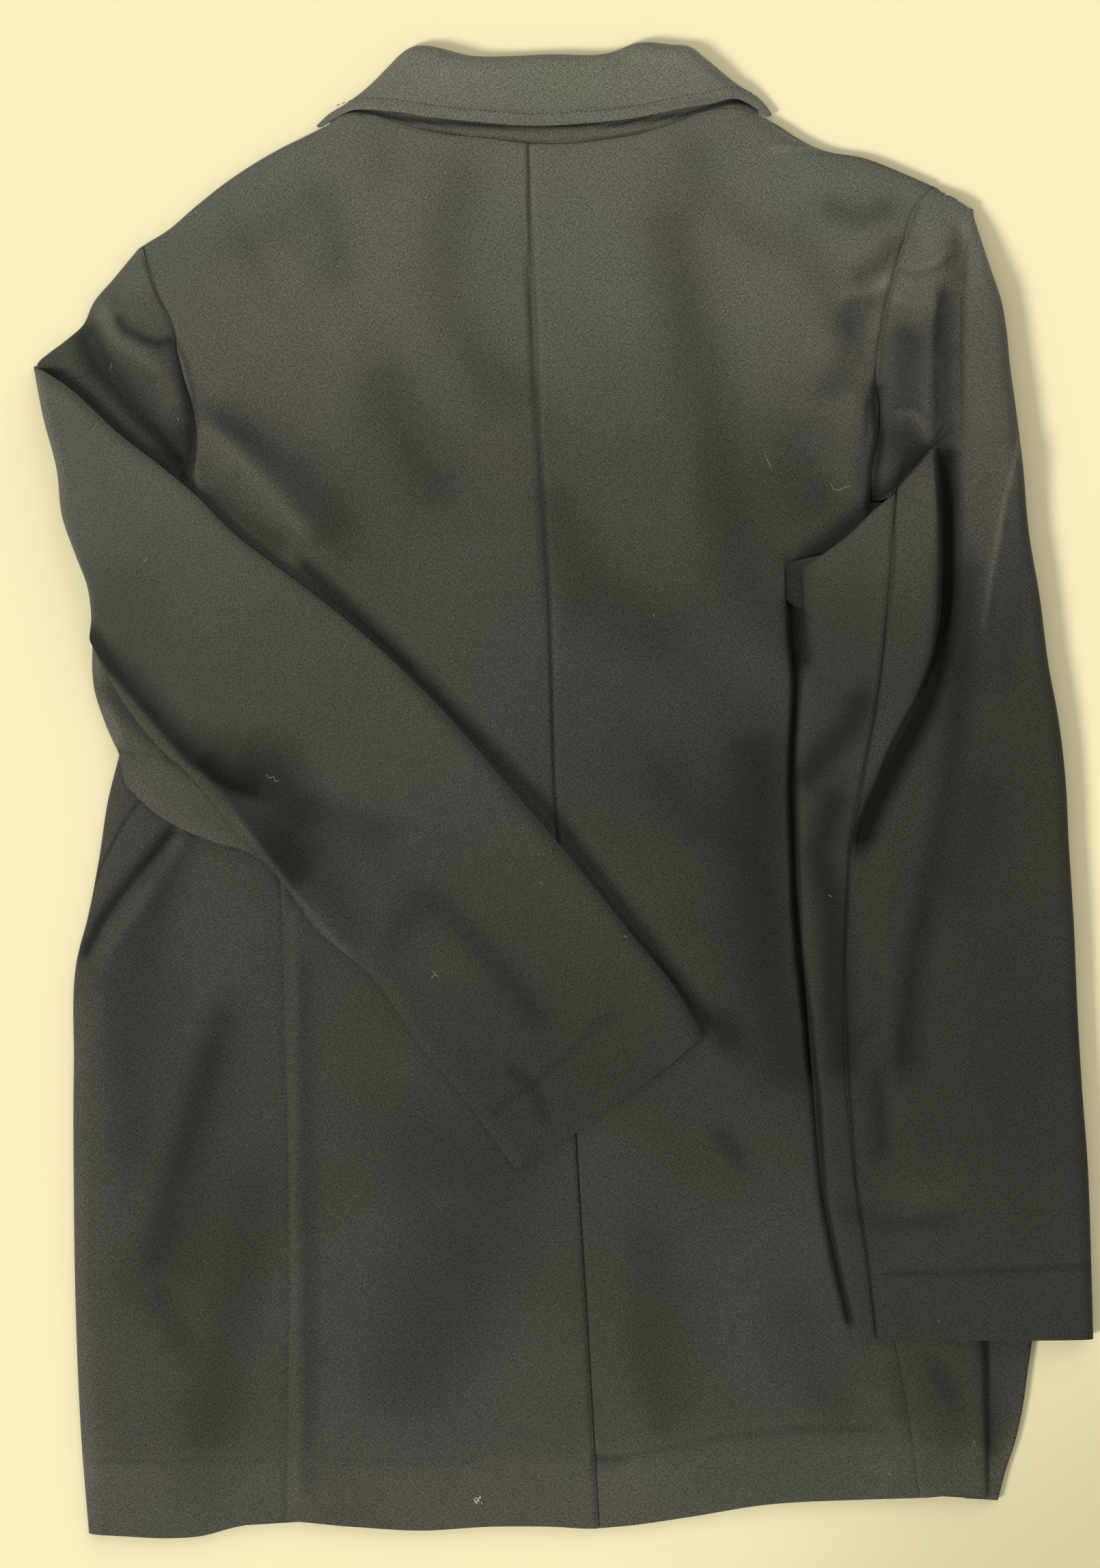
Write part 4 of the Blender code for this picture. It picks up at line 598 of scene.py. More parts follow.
def fold_height(x, y, folds, taper=0.0):
    """The summed height at each point of these soft ridges and troughs, which may taper at their ends."""
    total = np.zeros(np.broadcast(x, y).shape)
    for height, left, right, route in folds:
        corners = np.array(route, float)
        lengths = np.linalg.norm(np.diff(corners, axis=0), axis=1)
        starts = np.cumsum(lengths) - lengths
        nearest = np.full(total.shape, 1e9)
        side, run = np.ones(total.shape), np.zeros(total.shape)
        for start, end, length, gone in zip(corners[:-1], corners[1:], lengths, starts):
            along = (end - start) / length
            share = np.clip((x - start[0]) * along[0] + (y - start[1]) * along[1], 0, length)
            off_x, off_y = x - start[0] - share * along[0], y - start[1] - share * along[1]
            distance = np.hypot(off_x, off_y)
            closer = distance < nearest
            nearest = np.where(closer, distance, nearest)
            side = np.where(closer, (along[0] * off_y - along[1] * off_x) / np.maximum(distance, 1e-9), side)
            run = np.where(closer, gone + share, run)
        width = right + (left - right) * (1 + side) / 2
        fold = height * np.exp(-((nearest / width) ** 2))
        if taper:
            from_end = np.minimum(run, lengths.sum() - run)
            fold = fold * smooth(PAINTED_SHADING_END_SHARE + from_end / (taper * (left + right) / 2))
        total += fold
    return total


def front_height(x, y):
    """Mid-height of the fronts, which rise where they lie on the turned-back lapels."""
    across = np.abs(x - LINE["centre"].x_at(y))
    reach = table_at(LAPEL_REACH, y) + LAPEL_MARGIN
    over = smooth((reach - across) / LAPEL_SLOPE) * smooth((y - LAPEL_FOOT) / LAPEL_FOOT_LENGTH)
    return FRONT_LEVEL + (OVER_LAPEL_LEVEL - FRONT_LEVEL) * over


def body_height(x, y):
    """Mid-height of the back and side panels, before their folded edges round down."""
    level = HEM_LEVEL + (BACK_LEVEL - HEM_LEVEL) * smooth((y - LINE["hem"].y_at(x)) / HEM_EASE)
    from_side = LINE["right_side"].x_at(y) - x
    near_pleat = smooth(1 - (from_side - SIDE_ROUND) / PLEAT_REACH)
    lift = PLEAT_LIFT * near_pleat * smooth((UNDERARM - y) / PLEAT_LENGTH)
    return level + lift + fold_height(x, y, BACK_FOLDS + BACK_CREASES)


def rest_height(x, y, gap):
    """Lower face of a layer lying on the body and, past its right side, on the pleat and the surface."""
    on_body = np.maximum(body_height(x, y), BACK_LEVEL - REST_EASE) + CLOTH / 2 + gap
    by_underarm = between(y, UNDERARM_FOOT, UNDERARM_HEAD, UNDERARM_FADE)
    past_side = x - LINE["right_side"].x_at(y) - UNDERARM_SPREAD * by_underarm
    past_pleat = x - LINE["right_reach"].x_at(y)
    on_pleat = CLOTH + PLEAT_RISE + gap
    return np.maximum(on_body * (1 - smooth((past_side - SIDE_REST) / SIDE_DROP)),
                      on_pleat * (1 - smooth((past_pleat - PLEAT_REST) / PLEAT_DROP)))


def spread(shares, values):
    """One value a column, across several edges: share 0 is on the first edge, 1 on the second, and so on."""
    values = np.stack(values)
    start = np.clip(np.floor(shares).astype(int), 0, len(values) - 2)
    columns = np.arange(len(shares))
    first, second = values[start, :, columns].T, values[start + 1, :, columns].T
    return first + (second - first) * (shares - start)


def quarter(reach):
    """Distances from a folded edge that follow a quarter circle evenly."""
    return reach * (1 - np.cos(np.linspace(0, np.pi / 2, ROUND_STEPS + 1)))[:-1]


def stations(width, start_round=0.0, end_round=0.0, step=GRID_STEP):
    """Shares of a width, closer together inside the rounds of folded edges."""
    count = math.ceil((width - start_round - end_round) / step)
    middle = np.linspace(start_round, width - end_round, count + 1)
    start = quarter(start_round) if start_round else []
    end = width - quarter(end_round)[::-1] if end_round else []
    return np.concatenate([start, middle, end]) / width


def finer(values, parts):
    """The values, or the points, with each step split into equal parts."""
    values = np.asarray(values, float)
    marks = np.arange((len(values) - 1) * parts + 1) / parts
    if values.ndim == 1:
        return np.interp(marks, np.arange(len(values)), values)
    return np.stack([np.interp(marks, np.arange(len(values)), column) for column in values.T], 1)


def edged(shares, first_width, last_width):
    """Shares with a few more beside both ends, where a seam dips; each width is that of a share of 1."""
    near = np.array(SEAM_STEPS)
    return np.sort(np.concatenate([shares, shares[0] + near / first_width, shares[-1] - near / last_width]))


# Rows of the body's pieces: 0 at the hem, 1 at the underarm and 2 at the top edge.
HIDDEN_ROWS = np.concatenate([np.linspace(0, 1, 20), 1 + np.linspace(0.1, 1, 10)])
LOWER_ROWS = np.linspace(0, 1, 230)
SHOULDER_SHARE = 0.07
UPPER_ROWS = np.concatenate([np.linspace(0, 1 - SHOULDER_SHARE, 70), 1 - quarter(SHOULDER_SHARE)[::-1]])
BODY_ROWS = np.concatenate([LOWER_ROWS, 1 + UPPER_ROWS[1:]])
HIND_LENGTH = 437.0
HIND_ROWS = stations(HIND_LENGTH, end_round=SLEEVE_ROUND)

# Columns of the right upper sleeve: seam to flap, across the valley, on to the outer fold, and below.
TO_FLAP = finer([0, 0.3, 0.65, 1], 5)
IN_VALLEY = finer([0, 0.42, 1], 4)[1:]
TO_OUTER = finer([0, 0.2, 0.45, 0.72, 1.0], 7)[1:]
LOW_LAYER = finer([0, 0.1, 0.24, 0.38, 0.55, 0.78, 1.0], 3)


# A body panel's plan starts between these levels and settles on its curves in this many rounds.
PLAN_FOOT = -380.0
PLAN_HEAD = 320.0
PLAN_ROUNDS = 40


def body_plan(edges, us, rows, top=None):
    """A plan grid of a body panel. Rows run from the hem to the underarm, then on to the top edge."""
    y = np.repeat(np.interp(rows, [0, 1, 2], [PLAN_FOOT, UNDERARM, PLAN_HEAD])[:, None], len(us), axis=1)
    for _ in range(PLAN_ROUNDS):
        x = spread(us, [edge(y) for edge in edges])
        hem = LINE["hem"].y_at(x)
        lower = hem + (UNDERARM - hem) * np.minimum(rows, 1)[:, None]
        high = UNDERARM if top is None else top(x)
        y = np.where(rows[:, None] <= 1, lower, UNDERARM + (high - UNDERARM) * (rows[:, None] - 1))
    return np.stack([x, y], 2)


def patch(low, high, left, right, us, vs):
    """A plan grid between four boundary lines: v runs from low to high, and u from left to right."""
    u, v = us[None, :, None], vs[:, None, None]
    bottom, top = low.at(us)[None], high.at(us)[None]
    start, end = left.at(vs)[:, None], right.at(vs)[:, None]
    corners = ((1 - u) * (1 - v) * bottom[:, :1] + u * (1 - v) * bottom[:, -1:]
               + (1 - u) * v * top[:, :1] + u * v * top[:, -1:])
    return (1 - v) * bottom + v * top + (1 - u) * start + u * end - corners


def row_distance(plan, from_end=False):
    """Each point's distance along its row from the row's first or last point."""
    steps = np.linalg.norm(np.diff(plan, axis=1), axis=2)
    run = np.concatenate([np.zeros((len(plan), 1)), np.cumsum(steps, axis=1)], axis=1)
    return run[:, -1:] - run if from_end else run


def column_distance(plan, from_end=False):
    return row_distance(plan.transpose(1, 0, 2), from_end).T


def inset(plan, start=0.0, end=0.0):
    """Moves a plan's first and last columns in by the given distances, and the rest in proportion."""
    share = row_distance(plan)
    share = share / share[:, -1:]
    inwards = plan[:, -1:] - plan[:, :1]
    inwards = inwards / np.linalg.norm(inwards, axis=2, keepdims=True)
    return plan + inwards * (start * (1 - share) - end * share)[..., None]


def wall_offsets(points):
    """Vectors to the upper face of a wall around these points, longer at bends to keep it even."""
    across = points[1:, 1:] - points[:-1, :-1]
    back = points[1:, :-1] - points[:-1, 1:]
    cells = np.cross(across, back)
    cells = cells / np.linalg.norm(cells, axis=2, keepdims=True)
    total = np.zeros(points.shape)
    for rows in (slice(None, -1), slice(1, None)):
        for columns in (slice(None, -1), slice(1, None)):
            total[rows, columns] += cells
    normals = total / np.linalg.norm(total, axis=2, keepdims=True)
    least = np.ones(points.shape[:2])
    for rows in (slice(None, -1), slice(1, None)):
        for columns in (slice(None, -1), slice(1, None)):
            facing = (normals[rows, columns] * cells).sum(axis=2)
            least[rows, columns] = np.minimum(least[rows, columns], facing)
    return normals / np.clip(least, LEAST_MITRE, 1)[..., None]


def grain_map(points, turn):
    """Each point's place along the cloth's two yarns, in metres, with the warp turned by this angle."""
    across = np.array([math.cos(turn), math.sin(turn)])
    along = np.array([-across[1], across[0]])
    down = (points[-1] - points[0])[:, :2].mean(axis=0)
    sideways = (points[:, -1] - points[:, 0])[:, :2].mean(axis=0)
    turned = abs(down @ across) + abs(sideways @ along) > abs(down @ along) + abs(sideways @ across)
    grids = [points.transpose(1, 0, 2), points] if turned else [points, points.transpose(1, 0, 2)]
    places = []
    for direction, grid in zip((across, along), grids):
        run = row_distance(grid)
        placed = grid[..., :2] @ direction
        middle, quarter_way = grid.shape[1] // 2, max(grid.shape[1] // 4, 1)
        sign = np.sign((placed[:, quarter_way] - placed[:, 0]).sum())
        places.append(placed[:, middle:middle + 1] + (run - run[:, middle:middle + 1]) * sign)
    return np.stack([places[0].T, places[1]] if turned else [places[0], places[1].T], 2) * MM


def painted_shading_of(name, x, y):
    """How light a piece's painted light and shade is at each point."""
    part = PART_OF.get(name, "body")
    if part == "body":
        left, right = table_at(PAINTED_SHADING_LEVEL["left"], y), table_at(PAINTED_SHADING_LEVEL["right"], y)
        from_centre = x - LINE["centre"].x_at(y)
        level = left + (right - left) * smooth((from_centre - PAINTED_SHADING_BLEND_START) / PAINTED_SHADING_BLEND)
    else:
        level = table_at(PAINTED_SHADING_LEVEL[part], y)
    return np.clip(level * np.exp(fold_height(x, y, PAINTED_SHADING_STROKES[part], PAINTED_SHADING_TAPER)), *PAINTED_SHADING_RANGE)


def cloth_piece(name, upper, lower, turn=0.0):
    """Makes a closed wall of cloth between two grids of points, with its grain as a UV map."""
    rows, columns = upper.shape[:2]
    count = rows * columns
    index = np.arange(count).reshape(rows, columns)
    a, b, c, d = index[:-1, :-1], index[:-1, 1:], index[1:, 1:], index[1:, :-1]
    top = np.stack([a, b, c, d], 2).reshape(-1, 4)
    under = np.stack([a, d, c, b], 2).reshape(-1, 4) + count
    loop = np.concatenate([index[0, :-1], index[:-1, -1], index[-1, :0:-1], index[:0:-1, 0]])
    after = np.roll(loop, -1)
    rim = np.stack([after, loop, loop + count, after + count], 1)
    faces = np.concatenate([top, under, rim])
    points = np.concatenate([upper.reshape(-1, 3), lower.reshape(-1, 3)])
    mesh = bpy.data.meshes.new(name)
    mesh.from_pydata((points * MM).tolist(), [], faces.tolist())
    grain = np.tile(grain_map(upper, turn).reshape(-1, 2), (2, 1))
    corners = np.empty(len(mesh.loops), np.int32)
    mesh.loops.foreach_get("vertex_index", corners)
    layer = mesh.uv_layers.new(name="grain")
    layer.data.foreach_set("uv", grain[corners].ravel())
    # Each point keeps its painted light and shade, which scales the cloth's colour in the shader.
    nap_and_painted_shading = mesh.attributes.new("nap_and_painted_shading", "FLOAT", "POINT")
    nap_and_painted_shading.data.foreach_set("value", painted_shading_of(name, points[:, 0], points[:, 1]))
    mesh.shade_smooth()
    mesh.set_sharp_from_angle(angle=SHARP_EDGE)
    mesh.materials.append(look_named("dark suiting", suiting))
    piece = bpy.data.objects.new(name + "_cloth", mesh)
    bpy.context.scene.collection.objects.link(piece)
    dress(piece, name)
    return piece


def cloth_wall(name, plan, height, upright=None, turn=0.0, dip=None):
    """A cloth wall of even thickness around this plan and these mid-heights, with a seam's rim upright."""
    height = height if dip is None else height - SEAM_DIP * np.exp(-(dip / SEAM_DIP_WIDTH) ** 2)
    points = np.concatenate([plan, height[..., None]], axis=2)
    offset = wall_offsets(points) * CLOTH / 2
    if upright is not None:
        offset[upright] = [0, 0, CLOTH * UPRIGHT_SHARE]
    upper, lower = points + offset, points - offset
    upper[..., 2] = np.maximum(upper[..., 2], 0)
    lower[..., 2] = np.maximum(lower[..., 2], 0)
    return cloth_piece(name, upper, lower, turn)


def dress(piece, node):
    """Ties a cloth piece to its body, and hides the node that it stands for."""
    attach(piece, "root")
    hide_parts(node)


def vent_drop(x, y, side):
    """How far the right side of the vent lies below the left side that laps over it."""
    past = x - LINE["centre"].x_at(y)
    lapped = smooth((VENT_TOP - y) / VENT_STEP_LENGTH)
    return side * VENT_STEP * lapped * (1 - smooth((past - 1) / VENT_STEP_WIDTH))


# Columns of the back's halves; on the right, 1 is on the ridge beside the sleeve's inner fold.
BACK_LEFT_COLUMNS = [0, 0.05, 0.1, 0.16, 0.23, 0.31, 0.4, 0.55, 0.7, 0.85, 1]
BACK_RIGHT_COLUMNS = [0, 0.18, 0.36, 0.54, 0.72, 0.84, 0.93, 1, 1.07, 1.16, 1.4, 1.7, 2]
FAR_FROM_SEAM = 40.0
VENT_COLUMNS = [0.15, 12, 24, VENT_WIDTH]
VENT_ROWS = 80
VENT_HEM_INSET = 1.0


def back_plan(side):
    """The plan grid of the left half of the back, or of the right one."""
    half = SEAM_GAP / 2
    centre = LINE["centre"].x_at
    if side < 0:
        edge = LINE["back_left_edge"].x_at
        us = edged(finer(BACK_LEFT_COLUMNS, 8), first_width=170, last_width=170)
        return body_plan([lambda y: edge(y) + half, lambda y: centre(y) - half], us, BODY_ROWS,
                         LINE["top_left"].y_at)
    edge = LINE["back_right_edge"].x_at
    us = edged(finer(BACK_RIGHT_COLUMNS, 9), first_width=120, last_width=40)
    return body_plan([lambda y: centre(y) + half, LINE["ridge_right"].x_at, lambda y: edge(y) - half], us,
                     BODY_ROWS, LINE["top_right"].y_at)


def neck_share(x):
    """1 along the neck, where the back stays level, and 0 along the shoulders."""
    fade = NECK_FADE / 2
    return smooth((x - NECK_LEFT + fade) / NECK_FADE) * smooth((NECK_RIGHT + fade - x) / NECK_FADE)


def back_top_height(x, y):
    """Mid-height of the back at its top edge."""
    return SHOULDER_LEVEL + (body_height(x, y) - SHOULDER_LEVEL) * neck_share(x)


def back_panels():
    """The back's two halves, which round down at the shoulders."""
    for name, side in (("back_left", -1), ("back_right", 1)):
        plan = back_plan(side)
        x, y = plan[..., 0], plan[..., 1]
        height = body_height(x, y) - vent_drop(x, y, side > 0)
        neck = neck_share(x)
        share = neck + (1 - neck) * rounded(column_distance(plan, from_end=True), SHOULDER_ROUND)
        dip = np.minimum(row_distance(plan), row_distance(plan, from_end=True))
        no_seam = FAR_FROM_SEAM * (1 - neck)
        dip = np.minimum(dip, column_distance(plan, from_end=True) + no_seam)
        cloth_wall(name, plan, SHOULDER_LEVEL + (height - SHOULDER_LEVEL) * share, dip=dip)


def vent_underlap():
    """The right back's strip that lies under the left back below the top of the vent."""
    y = np.linspace(LINE["hem"].y_at(0) + VENT_HEM_INSET, VENT_TOP, VENT_ROWS)[:, None]
    inwards = finer(VENT_COLUMNS, 3)[None, :]
    x = LINE["centre"].x_at(y) - inwards
    plan = np.stack([x, np.broadcast_to(y, x.shape)], 2)
    height = body_height(x, plan[..., 1]) - CLOTH - SEAM_GAP
    cloth_wall("vent_underlap", plan, height)


def side_left():
    """The left side panel, which rounds down to the surface at the side fold."""
    seam = LINE["back_left_edge"].x_at
    us = stations(SIDE_LEFT_WIDTH, start_round=SIDE_ROUND)
    plan = body_plan([LINE["left_side"].x_at, lambda y: seam(y) - SEAM_GAP / 2], us, LOWER_ROWS)
    plan = inset(plan, start=CLOTH / 2)
    height = body_height(plan[..., 0], plan[..., 1])
    height = FOLD_FOOT + (height - FOLD_FOOT) * rounded(row_distance(plan), SIDE_ROUND)
    cloth_wall("side_left", plan, height, dip=row_distance(plan, from_end=True))


def side_right():
    """The right side panel, which rounds down to the pleat at the side fold."""
    seam = LINE["back_right_edge"].x_at
    foot = CLOTH + PLEAT_RISE + TIP_GAP
    us = stations(SIDE_RIGHT_WIDTH, end_round=SIDE_ROUND)
    plan = body_plan([lambda y: seam(y) + SEAM_GAP / 2, LINE["right_side"].x_at], us, LOWER_ROWS)
    plan = inset(plan, end=CLOTH / 2)
    height = body_height(plan[..., 0], plan[..., 1])
    foot = np.minimum(foot, height[:, -1:] - 1)
    height = foot + (height - foot) * rounded(row_distance(plan, from_end=True), SIDE_ROUND)
    cloth_wall("side_right", plan, height, dip=row_distance(plan))


# Below these levels the pleat is fully turned under and has its whole width. The flat cloth ends before it.
PLEAT_TURN_HEAD = UNDERARM + 30
PLEAT_WIDTH_HEAD = UNDERARM - 20
PLEAT_CLEAR = 4.0
LAPEL_ROWS = np.linspace(0.02, 0.9, 9)
LAPEL_COLUMNS = np.linspace(0, 1, 5)


def front_edge(y, side):
    """The front's inner edge: the centre front, and the roll line above the top of the closure."""
    away = np.where(y > ROLL_LINE[0][1], LINE["roll"].x_at(y), ROLL_LINE[0][0])
    return LINE["centre"].x_at(y) + side * away


def front_top(x):
    """The fronts' top edge, a little below the back's."""
    left, right = LINE["top_left"].y_at(x), LINE["top_right"].y_at(x)
    return np.where(x < CENTRE_BACK[-1][0], left, right) - FRONT_TOP_INSET


def front_left():
    """The left front, which lies on the surface within the side fold."""
    clear = CLOTH + 4 * SEAM_GAP
    edge = LINE["front_left_edge"].x_at
    plan = body_plan([lambda y: edge(y) + clear, lambda y: front_edge(y, -1)], np.linspace(0, 1, 8),
                     HIDDEN_ROWS, front_top)
    cloth_wall("front_left", plan, front_height(plan[..., 0], plan[..., 1]))


def pleat_section(turn, room):
    """Distances inwards and upwards along an edge strip that turns through this angle, then runs straight."""
    arc = math.pi * PLEAT_RISE / 2
    middles = turn * (np.arange(PLEAT_STEPS) + 0.5) / PLEAT_STEPS
    out = np.concatenate([[0], np.cumsum(np.cos(middles)) * arc / PLEAT_STEPS])
    up = np.concatenate([[0], np.cumsum(np.sin(middles)) * arc / PLEAT_STEPS])
    straight = np.array([0.5, 1.0]) * room
    out = np.concatenate([out, out[-1] + math.cos(turn) * straight])
    up = np.concatenate([up, up[-1] + math.sin(turn) * straight])
    return out.max() - out, up


def front_right():
    """The right front, whose spare width by the side seam lies in a pleat that shows past the side fold."""
    edge = LINE["front_right_edge"].x_at
    flat = body_plan([lambda y: front_edge(y, 1), lambda y: edge(y) - CLOTH / 2], np.linspace(0, 1, 7),
                     finer(HIDDEN_ROWS, 4), front_top)
    plan, height = [], []
    for row in flat:
        turn = math.pi * float(smooth((PLEAT_TURN_HEAD - row[-1, 1]) / PLEAT_FADE))
        room = max(float(row[-1, 0] - LINE["right_side"].x_at(row[-1, 1])) + PLEAT_UNDER, PLEAT_LEAST)
        kept = float(smooth((PLEAT_WIDTH_HEAD - row[-1, 1]) / PLEAT_FADE))
        room = PLEAT_LEAST + (room - PLEAT_LEAST) * kept
        inwards, up = pleat_section(turn, room)
        towards = (row[-2] - row[-1]) / np.linalg.norm(row[-2] - row[-1])
        flat_part = row[:-1]
        last_clear = row[-1] + towards * (inwards[0] + PLEAT_CLEAR)
        keep = flat_part[:, 0] < last_clear[0]
        flat_part = np.where(keep[:, None], flat_part, last_clear)
        plan.append(np.concatenate([flat_part, row[-1] + towards * inwards[:, None]]))
        flat_up = front_height(flat_part[:, 0], flat_part[:, 1])
        height.append(np.concatenate([flat_up, FRONT_LEVEL + up]))
    cloth_wall("front_right", np.array(plan), np.array(height))


def lapels():
    """The turned-back upper fronts, which lie between the fronts and the surface."""
    for name, side in (("lapel_left", -1), ("lapel_right", 1)):
        roll, edge = LINE["roll"].at(LAPEL_ROWS), LINE["lapel_edge"].at(LAPEL_ROWS)
        plan = roll[:, None] + (edge - roll)[:, None] * LAPEL_COLUMNS[None, :, None]
        plan[..., 0] = LINE["centre"].x_at(plan[..., 1]) + side * plan[..., 0]
        cloth_wall(name, plan, np.full(plan.shape[:2], FRONT_LEVEL))


# Where the collar fall comes down to its ends and drops to its tips, as shares of its length from the middle.
COLLAR_END_START, COLLAR_END_FADE = 0.3, 0.17
COLLAR_TIP_START, COLLAR_TIP_FADE = 0.39, 0.08
COLLAR_STATIONS = 150
COLLAR_ROUND_MOST = 0.7
# The stand: its rows, how far it stays inside the collar's outline, its least width, and its curved slope.
STAND_ROWS = [0, 0.22, 0.45, 0.7, 1.0]
STAND_END_ROOM = 4.0
STAND_INSIDE = 6.0
STAND_LEAST = 1.5
STAND_FOOT_LIFT = 0.6
STAND_BEND = 1.3


def collar_fall():
    """The turned-down collar, rounding down to the surface along the outline."""
    shares = np.linspace(*COLLAR_SHARES, COLLAR_STATIONS)
    rows = stations(COLLAR_DEPTH, end_round=COLLAR_ROUND, step=COLLAR_GRID_STEP)
    edge, outline = LINE["fall_edge"].at(shares), LINE["collar_outline"].at(shares)
    plan = edge[:, None] + (outline - edge)[:, None] * rows[None, :, None]
    plan = inset(plan, end=CLOTH / 2)
    from_middle = np.abs(shares - 0.5)
    ends = smooth((from_middle - COLLAR_END_START) / COLLAR_END_FADE)
    level = COLLAR_LEVEL + (COLLAR_END_LEVEL - COLLAR_LEVEL) * ends
    level = level - COLLAR_TIP_DROP * smooth((from_middle - COLLAR_TIP_START) / COLLAR_TIP_FADE)
    reach = np.minimum(COLLAR_ROUND, row_distance(plan)[:, -1:] * COLLAR_ROUND_MOST)
    foot = FOLD_FOOT + COLLAR_END_LIFT * ends[:, None] ** 4
    round_down = rounded(row_distance(plan, from_end=True), reach)
    cloth_wall("collar_fall", plan, foot + (level[:, None] - foot) * round_down)


def collar_stand():
    """The stand, from the neck seam up under the fall."""
    row = np.concatenate([back_plan(-1)[-1], back_plan(1)[-1][1:]])
    within = row[(row[:, 0] > STAND_LEFT + STAND_END_ROOM) & (row[:, 0] < STAND_RIGHT - STAND_END_ROOM), 0]
    x = np.concatenate([[STAND_LEFT], within, [STAND_RIGHT]])
    seam = np.interp(x, row[:, 0], row[:, 1]) + SEAM_GAP
    rows = finer(STAND_ROWS, 4)
    inside = np.maximum(LINE["collar_outline"].y_at(x) - STAND_INSIDE, seam + STAND_LEAST)
    y = seam[:, None] + (inside - seam)[:, None] * rows
    plan = np.stack([np.broadcast_to(x[:, None], y.shape), y], 2)
    start = back_top_height(x, seam)[:, None]
    height = start + (FRONT_LEVEL + STAND_FOOT_LIFT - start) * rows ** STAND_BEND
    cloth_wall("collar_stand", plan, height)


# The right sleeve's head beside the armhole: its slope, and the dip where the diagonal fold lies on it.
HEAD_SLOPE = 0.10
HEAD_DIP = 1.6
HEAD_DIP_WIDTH = 16.0
HEAD_DIP_FOOT, HEAD_DIP_FOOT_FADE = 125.0, 15.0
HEAD_DIP_TOP, HEAD_DIP_TOP_FADE = 215.0, 20.0
HEAD_REACH = 24.0
HEAD_NEAR = 2.0
HEAD_UNEVEN = 0.4
# Where the head is held down under the diagonal fold, and where no seam dips beside the fold's tip.
HELD_PAST = 12.0
HELD_FADE = 14.0
HELD_LIFT = 0.6
TIP_FOOT_X, TIP_FADE_X = 188.5, 4.0
TIP_TOP_Y, TIP_FADE_Y = 200.0, 8.0
TIP_CLEAR = 6.0
# The sleeve's inner edge, X by Y, where it crosses to the armhole.
INNER_CROSSING = [(100, 124), (150, 158)]
# The ground under the right sleeve's top layer: on the body, past it and at the sleeve's top.
GROUND = 7.4
GROUND_DROP = 2.4
GROUND_DROP_WIDTH = 40.0
GROUND_TOP_DROP = 1.8
GROUND_TOP = 275.0
GROUND_TOP_LENGTH = 28.0
VALLEY_NEAR_SLOPE = 3.0
VALLEY_FAR_SLOPE = 9.0
CUFF_RIGHT = [(149, -283), (161, -283)]
UNDER_SLEEVE_TOP = (171, 152)
# Where the hind seam passes from the under sleeve's top to the head.
HEAD_STRIP = [UNDER_SLEEVE_TOP, (173.5, 158.5), (178, 166), (182.5, 170.5), (187, 175)]
UNDER_SLEEVE_WIDTH = 34.0
DIAGONAL_ROUND = 6.0
VALLEY_LEAST = 6.5
OUTER_TOP = 211.0
CAP_RISE = 1.9
CAP_RISE_START = 191.0
CAP_RISE_WIDTH = 10.0
# The under sleeve's rounded top, and where its inner edge comes to rest on the sleeve's lower layer.
UNDER_TOP_ROUND = SLEEVE_ROUND * 0.7
UNDER_REST_FOOT = 44.0
UNDER_LIFT_FOOT = 60.0
UNDER_FADE = 14.0
UNDER_LIFT = 2 * TIP_GAP
# The upper sleeve's outer fold, flap and valley: least widths, and greatest shares of the sleeve's width.
OUTER_INSET = 3.0
BEND_MOST = 0.45
BEND_ANGLES = np.radians(np.linspace(80, -80, 13))
FLAP_LEAST = 2.0
FLAP_LEAST_FADE = 10.0
FLAP_MOST = 0.6
FAR_MOST = 0.8
LOW_LAYER_LEAST = 6.0
# The diagonal fold leans, so distances square to it are this share of those along X.
DIAGONAL_LEAN = 0.7
DIAGONAL_EDGE = 0.4
# The rows slant down towards the outline near the sleeve's top.
SLANT = 3.5
SLANT_FOOT = 280.0
SLANT_FADE = 22.0


def low_right(x, y):
    """Mid-height of the right sleeve's lower layer."""
    return rest_height(x, y, LAYER_GAP) + CLOTH / 2


def head_level(x, y):
    """Mid-height of the right sleeve's head beside the armhole, where the diagonal fold lies on it."""
    from_seam = x - LINE["back_right_edge"].x_at(y)
    start = body_height(x - np.maximum(from_seam, 0), y)
    by_diagonal = between(y, HEAD_DIP_FOOT, HEAD_DIP_TOP, HEAD_DIP_FOOT_FADE, HEAD_DIP_TOP_FADE)
    dip = HEAD_DIP * by_diagonal * (1 - smooth(from_seam / HEAD_DIP_WIDTH))
    return start + HEAD_SLOPE * np.maximum(from_seam, 0) - dip


